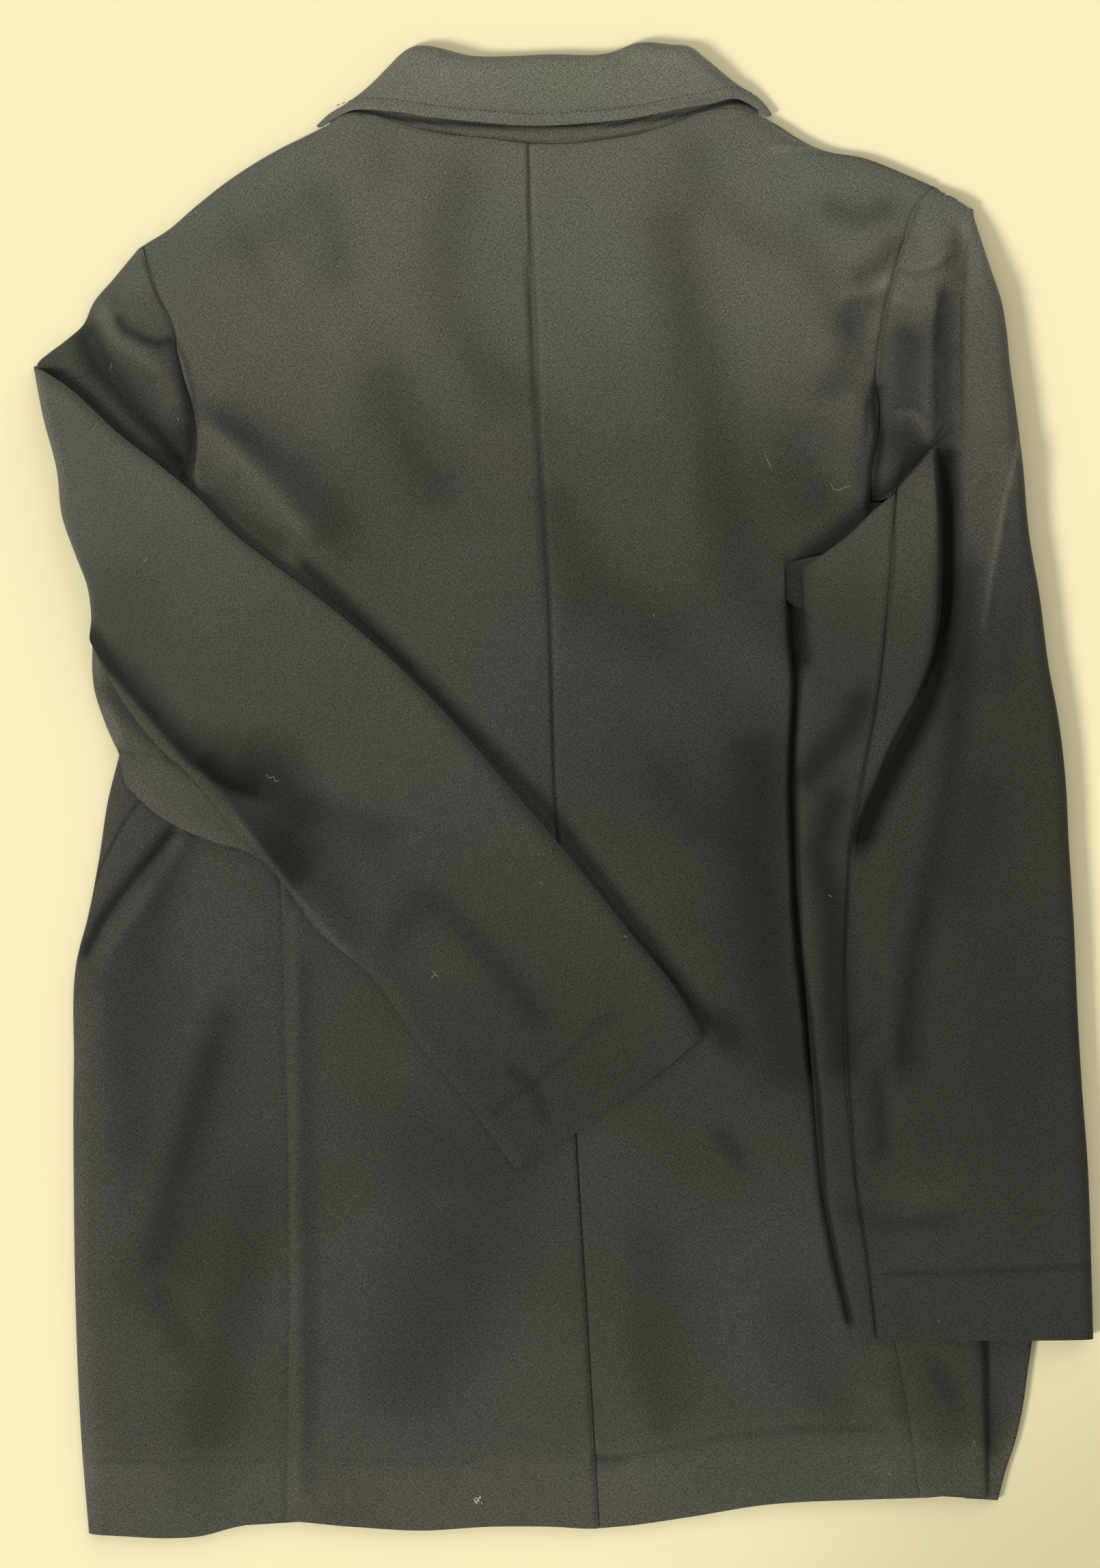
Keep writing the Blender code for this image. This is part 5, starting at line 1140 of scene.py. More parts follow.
def right_top(x, y):
    """Mid-height of the right sleeve's top layer, with the deep valley beside its flap."""
    inner = np.where(y > DIAGONAL[0][1], LINE["back_right_edge"].x_at(y), LINE["right_inner"].x_at(y))
    foot, top = INNER_CROSSING[0][0], INNER_CROSSING[-1][0]
    inner = np.where((y > foot) & (y < top), table_at(INNER_CROSSING, y), inner)
    outer = LINE["right_outer"].x_at(y)
    across = np.clip((x - inner) / (outer - inner), 0, 1)
    loft = LINE["right_loft"].y_at(across) * table_at(RIGHT_FULLNESS, y)
    ground = GROUND - GROUND_DROP * smooth((x - LINE["right_reach"].x_at(y)) / GROUND_DROP_WIDTH)
    ground = ground - GROUND_TOP_DROP * smooth((y - GROUND_TOP) / GROUND_TOP_LENGTH)
    into = smooth((x - LINE["flap"].x_at(y)) / VALLEY_NEAR_SLOPE)
    into = into * (1 - smooth((x - LINE["valley_edge"].x_at(y)) / VALLEY_FAR_SLOPE))
    top = ground + loft - table_at(VALLEY_DEPTH, y) * into + fold_height(x, y, RIGHT_FOLDS + RIGHT_CREASES)
    return np.maximum(top, low_right(x, y) + CLOTH + LAYER_GAP)


def under_sleeve_right():
    """The under sleeve, from the diagonal fold at its top to the cuff."""
    us = stations(UNDER_SLEEVE_WIDTH, start_round=SLEEVE_ROUND)
    cuff, top = Line(CUFF_RIGHT), Line(DIAGONAL[:4] + [UNDER_SLEEVE_TOP])
    plan = inset(patch(cuff, top, LINE["right_inner"], LINE["hind_seam"], us, HIND_ROWS), start=CLOTH / 2)
    plan = plan - [SEAM_GAP / 2, 0]
    x, y = plan[..., 0], plan[..., 1]
    crown = right_top(x, y)
    step = rounded(column_distance(plan, from_end=True), UNDER_TOP_ROUND)
    round_down = rounded(row_distance(plan), SLEEVE_ROUND) * step
    low = rest_height(x, y, TIP_GAP)
    over_low = low_right(x, y) + CLOTH / 2 + TIP_GAP
    over_low = over_low + UNDER_LIFT * smooth((y - UNDER_LIFT_FOOT) / UNDER_FADE)
    over_head = np.maximum(over_low, head_level(x, y) + CLOTH + SEAM_GAP)
    low = low + (over_head - low) * smooth((y - UNDER_REST_FOOT) / UNDER_FADE)
    height = low + (crown - low) * round_down
    cloth_wall("under_sleeve_right", plan, height, dip=row_distance(plan, from_end=True))


def head_rows():
    """Row ends of the right sleeve's head: on the armhole, as on the back, and on the seam at its right."""
    armhole = back_plan(1)[len(LOWER_ROWS) - 1:, -1] + [SEAM_GAP, 0]
    share = (armhole[:, 1] - UNDERARM) / (armhole[-1, 1] - UNDERARM)
    seam_y = HEAD_FOOT_Y + (HIND_SEAM_TOP[-1][1] - HEAD_FOOT_Y) * share
    seam = np.stack([LINE["hind_seam_top"].x_at(seam_y), seam_y], 1)
    return armhole, seam


def cap_least(x):
    """Mid-height of the right sleeve's top layer at its upper outline."""
    return SHOULDER_LEVEL + CAP_RISE * smooth((x - CAP_RISE_START) / CAP_RISE_WIDTH)


def sleeve_head_right():
    """The right sleeve by the armhole, which runs in under the diagonal fold."""
    armhole, seam = head_rows()
    even = finer(np.linspace(0, 1, len(HEAD_FOOT)), 3)
    climb = (armhole[:, 1] - UNDERARM) / (armhole[-1, 1] - UNDERARM)
    uneven = np.clip(1 - (climb - HEAD_FOOT_SHARE) / HEAD_UNEVEN, 0, 1)[:, None]
    shares = even + (finer(HEAD_SHARES, 3) - even) * uneven
    plan = armhole[:, None] + (seam - [HEAD_SEAM_GAP / 2, 0] - armhole)[:, None] * shares[..., None]
    plan[-1, :, 1] = LINE["cap_right"].y_at(plan[-1, :, 0]) - CLOTH / 2
    foot = finer(HEAD_FOOT, 3)
    plan = plan + (foot - plan[0]) * np.clip(1 - climb / HEAD_FOOT_SHARE, 0, 1)[:, None, None]
    x, y = plan[..., 0], plan[..., 1]
    height = right_top(x, y)
    level = head_level(x, y)
    near = 1 - smooth((x - LINE["back_right_edge"].x_at(y) - HEAD_NEAR) / HEAD_REACH)
    height = height + (level - height) * near
    end = DIAGONAL[-1][0]
    below = smooth((LINE["diagonal"].y_at(np.minimum(x, end)) + HELD_PAST - y) / HELD_PAST)
    below = below * smooth((end - x) / HELD_FADE)
    height = height + (np.minimum(height, level + HELD_LIFT) - height) * below
    top = rounded(LINE["cap_right"].y_at(x) - y - CLOTH / 2, SHOULDER_ROUND)
    upright = np.zeros(x.shape, bool)
    upright[:, -1] = True
    least = cap_least(x)
    beside_tip = TIP_CLEAR * smooth((TIP_TOP_Y - y) / TIP_FADE_Y) * smooth((x - TIP_FOOT_X) / TIP_FADE_X)
    cloth_wall("sleeve_head_right", plan, least + (height - least) * top, upright,
               dip=row_distance(plan) + beside_tip)


def edge_level(outer, y):
    """Mid-height of the right sleeve's top layer beside its outer fold."""
    x = outer - OUTER_INSET
    least = float(cap_least(x))
    below_top = max(LINE["cap_right"].y_at(OUTER_TOP) - y, 0)
    return least + (float(right_top(x, y)) - least) * float(rounded(below_top, SHOULDER_ROUND))


def outer_bend(width, level):
    """How wide the outer fold bends over, on a sleeve this wide whose top layer is this high at its edge."""
    half = (level - CLOTH / 2) / 2
    return min(SLEEVE_ROUND, width * BEND_MOST, max(1.1 * half, 3 * half - 4))


def flap_and_far_edge(first, last, y):
    """X of the flap and of the valley's far edge, on a row between these two X."""
    least = FLAP_LEAST + FLAP_LEAST * float(smooth((y - HEAD_FOOT_Y) / FLAP_LEAST_FADE))
    flap = min(max(float(LINE["flap"].x_at(y)), first + least), first + (last - first) * FLAP_MOST)
    far = max(float(LINE["valley_edge"].x_at(y)), flap + VALLEY_LEAST)
    return flap, min(far, first + (last - first) * FAR_MOST)


def upper_sleeve_levels(x, y, flap):
    """Mid-heights of the right upper sleeve's top layer along a row."""
    ys = np.full(x.shape, y)
    level = right_top(x, ys)
    if UNDER_SLEEVE_TOP[1] < y < HEAD_FOOT_Y:
        from_fold = (x - float(LINE["diagonal"].x_at(y))) * DIAGONAL_LEAN
        foot = head_level(x, ys) + CLOTH + SEAM_GAP
        share = rounded(from_fold + DIAGONAL_EDGE, DIAGONAL_ROUND)
        level = np.where(x < flap + 1, foot + (level - foot) * share, level)
    to_top = LINE["cap_right"].y_at(np.clip(x, CAP_RIGHT[0][0], OUTER_TOP)) - y - CLOTH / 2
    least = cap_least(x)
    return np.minimum(level, least + (level - least) * rounded(np.maximum(to_top, 0), SHOULDER_ROUND))


def upper_sleeve_right():
    """The upper sleeve: from the hind seam across the valley, round the outer fold and back below."""
    _, head = head_rows()
    starts = np.concatenate([LINE["hind_seam"].at(HIND_ROWS), finer(HEAD_STRIP, 4)[1:-1], head])
    low_x, low_y = np.array(LOW_LAYER_EDGE, float).T
    plan, height = [], []
    for start_x, y in starts.tolist():
        first = start_x + (HEAD_SEAM_GAP if y > HEAD_FOOT_Y else SEAM_GAP) / 2
        outer = float(LINE["right_outer"].x_at(y)) - CLOTH / 2
        bend = outer_bend(outer - first, edge_level(outer, y))
        last = outer - bend
        flap, far = flap_and_far_edge(first, last, y)
        tops = np.concatenate([first + (flap - first) * TO_FLAP, flap + (far - flap) * IN_VALLEY,
                               far + (last - far) * TO_OUTER])
        top_z = upper_sleeve_levels(tops, y, flap)
        inner = min(float(np.interp(y, low_y, low_x)), last - LOW_LAYER_LEAST)
        lows = last - (last - inner) * LOW_LAYER
        low_z = low_right(lows, np.full(lows.shape, y))
        middle, half = (top_z[-1] + low_z[0]) / 2, (top_z[-1] - low_z[0]) / 2
        xs = np.concatenate([tops, last + bend * np.cos(BEND_ANGLES), lows])
        slant = SLANT * smooth((xs - first) / max(outer - first, 1))
        ys = y - slant * smooth((y - SLANT_FOOT) / SLANT_FADE)
        plan.append(np.stack([xs, ys], 1))
        height.append(np.concatenate([top_z, middle + half * np.sin(BEND_ANGLES), low_z]))
    upright = np.zeros((len(plan), len(plan[0])), bool)
    upright[-len(head):, 0] = True
    cloth_wall("upper_sleeve_right", np.array(plan), np.array(height), upright)


# The left sleeve's fold at the outline, its cap, and how its layers come down.
SLEEVE_LEFT_WIDTH = 125.0
SLEEVE_LEFT_LENGTH = 440.0
UNDER_LEFT_WIDTH = 110.0
UNDER_LEFT_TOP = (-186, 144)
LOBE_FOOT = 0.9
CAP_TOP = [(-220, 277.5), (-217.2, 279.7)]
CAP_COLUMNS = [0, 0.03, 0.08, 0.13, 0.3, 0.5, 0.75, 1]
CAP_LOW = 1.2
CAP_SLOPE = 0.22
CAP_ROUND, CAP_EDGE = 12.0, 0.4
CAP_FOOT_ROUND, CAP_FOOT_EDGE = 9.0, 2.0
CREASE_MARGIN = 1.0
# How full the sleeve is by the cuff, and how much fuller by the fold at the outline.
CUFF_FULLNESS, CUFF_FULLNESS_FADE = 0.75, 150.0
FOLD_FULLNESS, FOLD_FULLNESS_FADE = 0.35, 110.0
# How the fold comes up on the cap, above this level, and on the lobe between those.
CAP_STEP_START, CAP_STEP = 1.0, 8.0
CAP_REST_FOOT = 60.0
LOBE_REST_FOOT, LOBE_REST_HEAD, LOBE_REST_FADE = -66.0, 90.0, 12.0
LOBE_REST_SHARE, LOBE_REST_SHARE_FADE = 0.1, 0.3
IN_LOBE_FOOT, IN_LOBE_FADE = -52.0, 16.0


def lobe_level(x, y):
    """Mid-height of the left under sleeve."""
    return np.maximum(body_height(x, y), BACK_LEVEL) + CLOTH + LAYER_GAP


def upper_sleeve_left():
    """The layer that shows: from the fold at the outline across the back to the cuff."""
    us = stations(SLEEVE_LEFT_WIDTH, start_round=SLEEVE_ROUND, end_round=SLEEVE_ROUND)
    vs = stations(SLEEVE_LEFT_LENGTH, start_round=SLEEVE_ROUND)
    plan = patch(LINE["left_fold"], LINE["left_cuff"], LINE["left_lower"], LINE["left_crease"], us, vs)
    plan = inset(plan, start=CLOTH / 2, end=CLOTH / 2)
    x, y = plan[..., 0], plan[..., 1]
    from_fold, from_cuff = column_distance(plan), column_distance(plan, from_end=True)
    across = row_distance(plan) / row_distance(plan)[:, -1:]
    full = CUFF_FULLNESS + (1 - CUFF_FULLNESS) * smooth(from_cuff / CUFF_FULLNESS_FADE)
    full = full + FOLD_FULLNESS * (1 - smooth(from_fold / FOLD_FULLNESS_FADE))
    ground = BACK_LEVEL + CLOTH / 2
    crown = ground + LINE["left_loft"].y_at(across) * full + fold_height(x, y, LEFT_FOLDS + LEFT_CREASES)
    on_cap = smooth((from_fold - CAP_STEP_START) / CAP_STEP)
    over_cap = FOLD_FOOT + (CAP_HIDDEN_LEVEL + CLOTH / 2 + TIP_GAP - FOLD_FOOT) * on_cap
    low = np.where(y > CAP_REST_FOOT, over_cap, rest_height(x, y, TIP_GAP))
    on_lobe = between(y, LOBE_REST_FOOT, LOBE_REST_HEAD, LOBE_REST_FADE)
    on_lobe = on_lobe * (1 - smooth((across - LOBE_REST_SHARE) / LOBE_REST_SHARE_FADE))
    low = low + (lobe_level(x, y) + CLOTH / 2 + TIP_GAP - low) * on_lobe
    sides = rounded(row_distance(plan), SLEEVE_ROUND)
    sides = sides * rounded(row_distance(plan, from_end=True), SLEEVE_ROUND)
    crown = np.maximum(crown, lobe_level(x, y) + CLOTH + TIP_GAP + SEAM_GAP)
    height = low + (crown - low) * sides * rounded(from_fold, SLEEVE_ROUND)
    cloth_wall("upper_sleeve_left", plan, height, turn=LEFT_SLEEVE_TURN)


def under_sleeve_left():
    """The layer below, which shows in the lobe past the lower fold."""
    us = stations(UNDER_LEFT_WIDTH, start_round=SLEEVE_ROUND)
    vs = np.linspace(0, 1, 150)
    lower = Line(LOBE[:-1] + UNDER_LOWER)
    upper = Line([UNDER_LEFT_TOP] + LEFT_CREASE[5:])
    plan = patch(LINE["under_start"], LINE["left_cuff"], lower, upper, us, vs)
    plan = inset(plan, start=CLOTH / 2, end=CLOTH + 5 * LAYER_GAP)
    x, y = plan[..., 0], plan[..., 1]
    height = lobe_level(x, y)
    foot = np.where(x < LINE["left_side"].x_at(y) + 1, LOBE_FOOT, BACK_LEVEL + CLOTH + TIP_GAP)
    in_lobe = smooth((y - IN_LOBE_FOOT) / IN_LOBE_FADE)
    round_down = 1 - in_lobe * (1 - rounded(row_distance(plan), SLEEVE_ROUND))
    cloth_wall("under_sleeve_left", plan, foot + (height - foot) * round_down, turn=LEFT_SLEEVE_TURN)


def sleeve_head_left():
    """The folded layers by the left armhole, one rounded solid whose top is the sleeve's cap."""
    armhole = back_plan(-1)[len(LOWER_ROWS) - 1:, 0] - [SEAM_GAP, 0]
    armhole[0, 1] = CAP_FOOT[-1][1]
    share = (armhole[:, 1] - armhole[0, 1]) / (armhole[-1, 1] - armhole[0, 1])
    us = edged(finer(CAP_COLUMNS, 7), first_width=64, last_width=64)
    plan = patch(LINE["cap_foot"], Line(CAP_TOP), LINE["cap_left"], Line(armhole), us, share)
    plan[:, -1] = armhole
    x, y = plan[..., 0], plan[..., 1]
    across = row_distance(plan)
    top = body_height(x, y) + CLOTH / 2 + fold_height(x, y, CAP_FOLDS + CAP_CREASES)
    past_crease = np.maximum(y - LINE["left_crease"].y_at(x) - CREASE_MARGIN, 0)
    top = np.minimum(top, CAP_HIDDEN_LEVEL + CAP_SLOPE * past_crease)
    round_down = rounded(across + CAP_EDGE, CAP_ROUND)
    round_down = round_down * rounded(column_distance(plan) + CAP_FOOT_EDGE, CAP_FOOT_ROUND)
    top = CAP_LOW + (top - CAP_LOW) * round_down
    dip = row_distance(plan, from_end=True)
    cloth_wall("sleeve_head_left", plan, top - CLOTH / 2, turn=CAP_TURN, dip=dip)


# Loose fibres: a route on the cloth, in plan.
FIBRES = [
    [(-153, 8), (-151, 6), (-149, 7), (-148, 4), (-146, 5)],
    [(-12, -47), (-11, -49)], [(31, -75), (33, -76)],
    [(-67, -93), (-66, -95), (-68, -97)], [(-66, -95), (-64, -96)],
    [(136, -54), (138, -55)],
    [(104, 173), (105.5, 169), (107, 166)],
    [(137.5, 158), (139, 155), (142, 154.5), (145, 156), (149, 156.5)],
    [(46, 91), (47, 89)], [(-61, 319), (-60, 317)], [(-233, 220), (-234, 217)],
    [(-199, 192), (-198, 190)], [(-214, 120), (-215, 117)],
    [(167, -352), (169, -353)], [(211, -335), (212, -337)], [(192, -272), (193, -274)],
    [(-142, -367), (-140, -368)], [(47, 361), (48, 362)],
]
FIBRE_RADIUS = 0.11
FIBRE_LIFT = 0.1
# The small tuft of fluff by the hem.
TUFT = (-44, -366)
TUFT_STRANDS = 16
TUFT_SPREAD = 0.9
TUFT_RADIUS = 0.16
TUFT_LIFT = 0.15
TUFT_REACH = (0.9, 2.2)
TUFT_BEND = 0.8
TUFT_HEIGHT = (0.2, 1.0)
# A strand's thickness at its ends, how far in it stays there, and how soon it fills out.
STRAND_TIP = 0.35
STRAND_END = 0.08
STRAND_FILL = 0.4
# The collar's stitches: pitch and length as shares of the fall's edge.
STITCH_SHARES = (0.06, 0.945)
STITCH_PITCH = 0.0105
STITCH_LENGTH = 0.0065
STITCH_RADIUS = 0.22
STITCH_LIFT = 0.05


class Wire:
    """An output of a shader node, which takes part in plain arithmetic."""

    def __init__(self, graph, socket):
        self.graph = graph
        self.socket = socket

    def math(self, operation, first, second):
        """One step of arithmetic, as a node."""
        return self.graph.node("Math", {"operation": operation}, {0: first, 1: second})

    def __add__(self, other):
        return self.math("ADD", self, other)

    def __radd__(self, other):
        return self.math("ADD", other, self)

    def __sub__(self, other):
        return self.math("SUBTRACT", self, other)

    def __rsub__(self, other):
        return self.math("SUBTRACT", other, self)

    def __mul__(self, other):
        return self.math("MULTIPLY", self, other)

    def __rmul__(self, other):
        return self.math("MULTIPLY", other, self)

    def __truediv__(self, other):
        return self.math("DIVIDE", self, other)

    def __rtruediv__(self, other):
        return self.math("DIVIDE", other, self)

    def stretched(self, x, y, z):
        """A vector with each of its parts multiplied."""
        return self.graph.node("VectorMath", {"operation": "MULTIPLY"}, {0: self, 1: (x, y, z)})

    def between(self, low, high):
        """0 below the low value, 1 above the high one, and smooth between them."""
        settings = {"interpolation_type": "SMOOTHSTEP"}
        return self.graph.node("MapRange", settings, {"Value": self, "From Min": low, "From Max": high})


class Graph:
    """A material's nodes."""

    def __init__(self, name):
        self.material = bpy.data.materials.new(name)
        self.material.use_nodes = True
        self.tree = self.material.node_tree
        self.tree.nodes.clear()

    def node(self, kind, settings=None, values=None, out=0):
        """Makes a node with these settings and inputs, and returns one of its outputs."""
        made = self.tree.nodes.new("ShaderNode" + kind)
        for name, value in (settings or {}).items():
            setattr(made, name, value)
        for name, value in (values or {}).items():
            if isinstance(value, Wire):
                self.tree.links.new(value.socket, made.inputs[name])
            else:
                made.inputs[name].default_value = value
        return Wire(self, made.outputs[out])

    def noise(self, vector, scale, detail=2.0):
        """Soft noise of this many spots a metre, or a unit of the vector."""
        return self.node("TexNoise", {}, {"Vector": vector, "Scale": scale, "Detail": detail})

    def blend(self, share, first, second):
        """A colour between two others."""
        return self.node("Mix", {"data_type": "RGBA"}, {0: share, 6: first, 7: second}, out=2)

    def bump(self, height, strength, distance):
        return self.node("Bump", {}, {"Height": height, "Strength": strength, "Distance": distance})

    def place(self):
        return self.node("TexCoord", out="Object")

    def finish(self, **values):
        """Wires these values into a Principled shader, under its own names for them."""
        sockets = {name.replace("_", " "): value for name, value in values.items()}
        shader = self.node("BsdfPrincipled", {}, sockets)
        output = self.tree.nodes.new("ShaderNodeOutputMaterial")
        self.tree.links.new(shader.socket, output.inputs["Surface"])


# Colours of the cloth's hollows and of its raised yarn, each browner and greener, and of its pale specks.
HOLLOW_BROWN, HOLLOW_GREEN = (0.034, 0.0325, 0.0265, 1), (0.0315, 0.0325, 0.025, 1)
YARN_BROWN, YARN_GREEN = (0.125, 0.122, 0.103, 1), (0.117, 0.120, 0.093, 1)
SPECK = (0.42, 0.41, 0.36, 1)
SPECK_SHARE = 0.35
THREAD_DARK, THREAD_LIGHT = (0.028, 0.027, 0.024, 1), (0.075, 0.072, 0.062, 1)
GREY_FLUFF = (0.26, 0.25, 0.22, 1), (0.42, 0.41, 0.36, 1)
PINK_FLUFF = (0.62, 0.45, 0.43, 1), (0.83, 0.69, 0.66, 1)
BOARD_CREAM, BOARD_PALE = (0.83, 0.755, 0.475, 1), (0.86, 0.785, 0.50, 1)
BOARD_SHADE = (0.60, 0.545, 0.335, 1)
# The board's shaded far corner: its direction, and the distances in metres over which it comes in.
SHADE_WAY = (0.6, -0.8, 0)
SHADE_FROM, SHADE_TO = 0.31, 0.48


def look_named(name, build):
    """The material of this name, which is built the first time."""
    made = bpy.data.materials.get(name)
    if made:
        return made
    graph = Graph(name)
    build(graph)
    return graph.material


def suiting(graph):
    """Dark grey-brown woven wool, its colour scaled by painted light and shade and by random lighter and
    darker patches.
    """
    look = bpy.context.scene.blazer_cloth
    grain = graph.node("UVMap", {"uv_map": "grain"})
    place = graph.place()
    fine, coarse = 1 / look.yarn, 1 / look.float_length
    warp = graph.noise(grain.stretched(fine, coarse, 1), 1.0)
    weft = graph.noise(grain.stretched(coarse, fine, 1), 1.0)
    blocks = graph.noise(grain.stretched(fine, fine, 1), 0.7, 0.0).between(0.4, 0.6)
    weave = warp * blocks + weft * (1 - blocks)
    clouds = graph.noise(place, 1 / look.patch_size, 3.0)
    olive = graph.noise(place, 0.6 / look.patch_size).between(0.4, 0.65)
    hollow = graph.blend(olive, HOLLOW_BROWN, HOLLOW_GREEN)
    yarn = graph.blend(olive, YARN_BROWN, YARN_GREEN)
    colour = graph.blend(weave.between(0.32, 0.7), hollow, yarn)
    # The cloth's colour is scaled by each point's painted light and shade, and by random patches.
    nap_and_painted_shading = graph.node("Attribute", {"attribute_name": "nap_and_painted_shading"}, {}, out="Fac")
    painted_shading_and_mottle = nap_and_painted_shading * (0.82 + 0.36 * clouds)
    specks = graph.noise(grain.stretched(fine, fine, 1), 0.9, 0.0).between(0.74, 0.82)
    speckled = graph.blend(specks * SPECK_SHARE, colour, SPECK)
    colour_with_painted_shading = graph.node("VectorMath", {"operation": "SCALE"}, {0: speckled, "Scale": painted_shading_and_mottle})
    bump = graph.bump(weave * 0.7 + clouds * 0.3, 0.55, look.yarn * 0.5)
    graph.finish(Base_Color=colour_with_painted_shading, Roughness=0.78 + 0.14 * weave, Normal=bump, Sheen_Weight=look.sheen,
                 Sheen_Roughness=0.45, Specular_IOR_Level=0.07)


def sewing_thread(graph):
    """Twisted sewing thread."""
    twist = graph.noise(graph.place(), 2600.0)
    graph.finish(Base_Color=graph.blend(twist, THREAD_DARK, THREAD_LIGHT), Roughness=0.7 + 0.1 * twist,
                 Normal=graph.bump(twist, 0.4, 0.0002))


def fluff(graph, deep, pale):
    """Loose fibre, a little uneven in colour."""
    mottle = graph.noise(graph.place(), 900.0)
    graph.finish(Base_Color=graph.blend(mottle, deep, pale), Roughness=0.6 + 0.2 * mottle,
                 Normal=graph.bump(mottle, 0.3, 0.0001))


def cream_board(graph):
    """A plain cream board, evenly matte, which is shaded towards one corner."""
    place = graph.place()
    tooth = graph.noise(place, 700.0)
    cream = graph.blend(graph.noise(place, 3.0), BOARD_CREAM, BOARD_PALE)
    away = graph.node("VectorMath", {"operation": "DOT_PRODUCT"}, {0: place, 1: SHADE_WAY}, out="Value")
    graph.finish(Base_Color=graph.blend(away.between(SHADE_FROM, SHADE_TO), cream, BOARD_SHADE),
                 Roughness=0.85 + 0.1 * tooth, Normal=graph.bump(tooth, 0.08, 0.0002), Specular_IOR_Level=0.1)


ABOVE_ALL = 0.1


def top_of_cloth(x, y, trees):
    """The height of the uppermost cloth at a place, in metres."""
    highest = 0.0
    for tree in trees:
        hit = tree.ray_cast(Vector((x * MM, y * MM, ABOVE_ALL)), Vector((0, 0, -1)))[0]
        if hit is not None:
            highest = max(highest, hit.z)
    return highest


def cloth_trees():
    """Search trees of the cloth pieces made so far."""
    trees = []
    for piece in bpy.data.objects:
        if piece.name.endswith("_cloth"):
            mesh = piece.data
            points = [vertex.co for vertex in mesh.vertices]
            trees.append(BVHTree.FromPolygons(points, [tuple(face.vertices) for face in mesh.polygons]))
    return trees


def strand(shape, route, radius, sides=5):
    """Adds a thin closed tube with narrowed ends along a route in metres."""
    rings = []
    for number, point in enumerate(route):
        before, after = route[max(number - 1, 0)], route[min(number + 1, len(route) - 1)]
        forward = (after - before).normalized()
        side = forward.cross(Vector((0, 0, 1))).normalized()
        over = side.cross(forward)
        share = number / (len(route) - 1)
        full = math.sin(math.pi * min(max(share, STRAND_END), 1 - STRAND_END)) ** STRAND_FILL
        thick = radius * MM * (STRAND_TIP + (1 - STRAND_TIP) * full)
        ring = []
        for step in range(sides):
            turn = 2 * math.pi * step / sides
            sideways = point + side * math.cos(turn) * thick
            ring.append(shape.verts.new(sideways + over * math.sin(turn) * thick))
        rings.append(ring)
    for first, second in zip(rings[:-1], rings[1:]):
        for step in range(sides):
            after = (step + 1) % sides
            shape.faces.new((first[step], first[after], second[after], second[step]))
    shape.faces.new(rings[0][::-1])
    shape.faces.new(rings[-1])


def strands_piece(name, shape, look):
    """Makes one piece of the strands in this shape."""
    bmesh.ops.recalc_face_normals(shape, faces=shape.faces)
    mesh = bpy.data.meshes.new(name)
    shape.to_mesh(mesh)
    shape.free()
    mesh.shade_smooth()
    mesh.materials.append(look)
    piece = bpy.data.objects.new(name, mesh)
    bpy.context.scene.collection.objects.link(piece)
    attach(piece, "root")
    return piece


def laid_route(points, trees, lift, parts=4):
    """A route in metres on top of the cloth through these places."""
    dense = finer(points, parts)
    return [Vector((x * MM, y * MM, top_of_cloth(x, y, trees) + lift * MM)) for x, y in dense]


def collar_stitching():
    """The row of stitches that holds the collar fall a little above its edge."""
    trees = cloth_trees()
    shape = bmesh.new()
    shares = np.arange(*STITCH_SHARES, STITCH_PITCH)
    edge = LINE["fall_edge"].at(shares)
    ahead = LINE["fall_edge"].at(shares + STITCH_LENGTH)
    for start, end in zip(edge, ahead):
        along = (end - start) / np.linalg.norm(end - start)
        inwards = np.array([-along[1], along[0]]) * COLLAR_STITCH_INSET
        strand(shape, laid_route([start + inwards, end + inwards], trees, STITCH_LIFT), STITCH_RADIUS)
    strands_piece("collar_stitching", shape, look_named("sewing thread", sewing_thread))


def stray_fibres(trees):
    """The thin fibres that lie on the cloth."""
    shape = bmesh.new()
    for route in FIBRES:
        strand(shape, laid_route(route, trees, FIBRE_LIFT, 3), FIBRE_RADIUS)
    strands_piece("stray_fibres", shape, look_named("grey fluff", lambda graph: fluff(graph, *GREY_FLUFF)))


def fluff_tuft(trees):
    """The small tuft of pink fluff by the hem."""
    shape = bmesh.new()
    chance = np.random.default_rng(5)
    for _ in range(TUFT_STRANDS):
        start = np.array(TUFT) + chance.normal(0, TUFT_SPREAD, 2)
        turn = chance.uniform(0, 2 * math.pi)
        reach = chance.uniform(*TUFT_REACH)
        bend = chance.uniform(-TUFT_BEND, TUFT_BEND)
        middle = start + reach * 0.5 * np.array([math.cos(turn), math.sin(turn)])
        end = start + reach * np.array([math.cos(turn + bend), math.sin(turn + bend)])
        route = laid_route([start, middle, end], trees, TUFT_LIFT, 2)
        for number, point in enumerate(route):
            point.z += chance.uniform(*TUFT_HEIGHT) * MM * math.sin(math.pi * number / (len(route) - 1))
        strand(shape, route, TUFT_RADIUS)
    strands_piece("fluff_tuft", shape, look_named("pink fluff", lambda graph: fluff(graph, *PINK_FLUFF)))


BOARD_SIZE = 8.0
BOARD_LEVEL = -0.0003
WINDOW_BEARING = math.radians(35)
WINDOW_SPREAD, WALL_SPREAD = math.radians(14), math.radians(60)
WINDOW_COLOUR, WALL_COLOUR, ROOM_COLOUR = (1.0, 0.985, 0.95), (1.0, 1.0, 1.0), (1.0, 0.99, 0.97, 1)
WALL_TOWARDS = (-0.5, -0.75, -0.42)
CAMERA_PLACE = (-0.007, 0.003, 2.4)
CAMERA_SENSOR, CAMERA_LENS = 36.0, 106.6


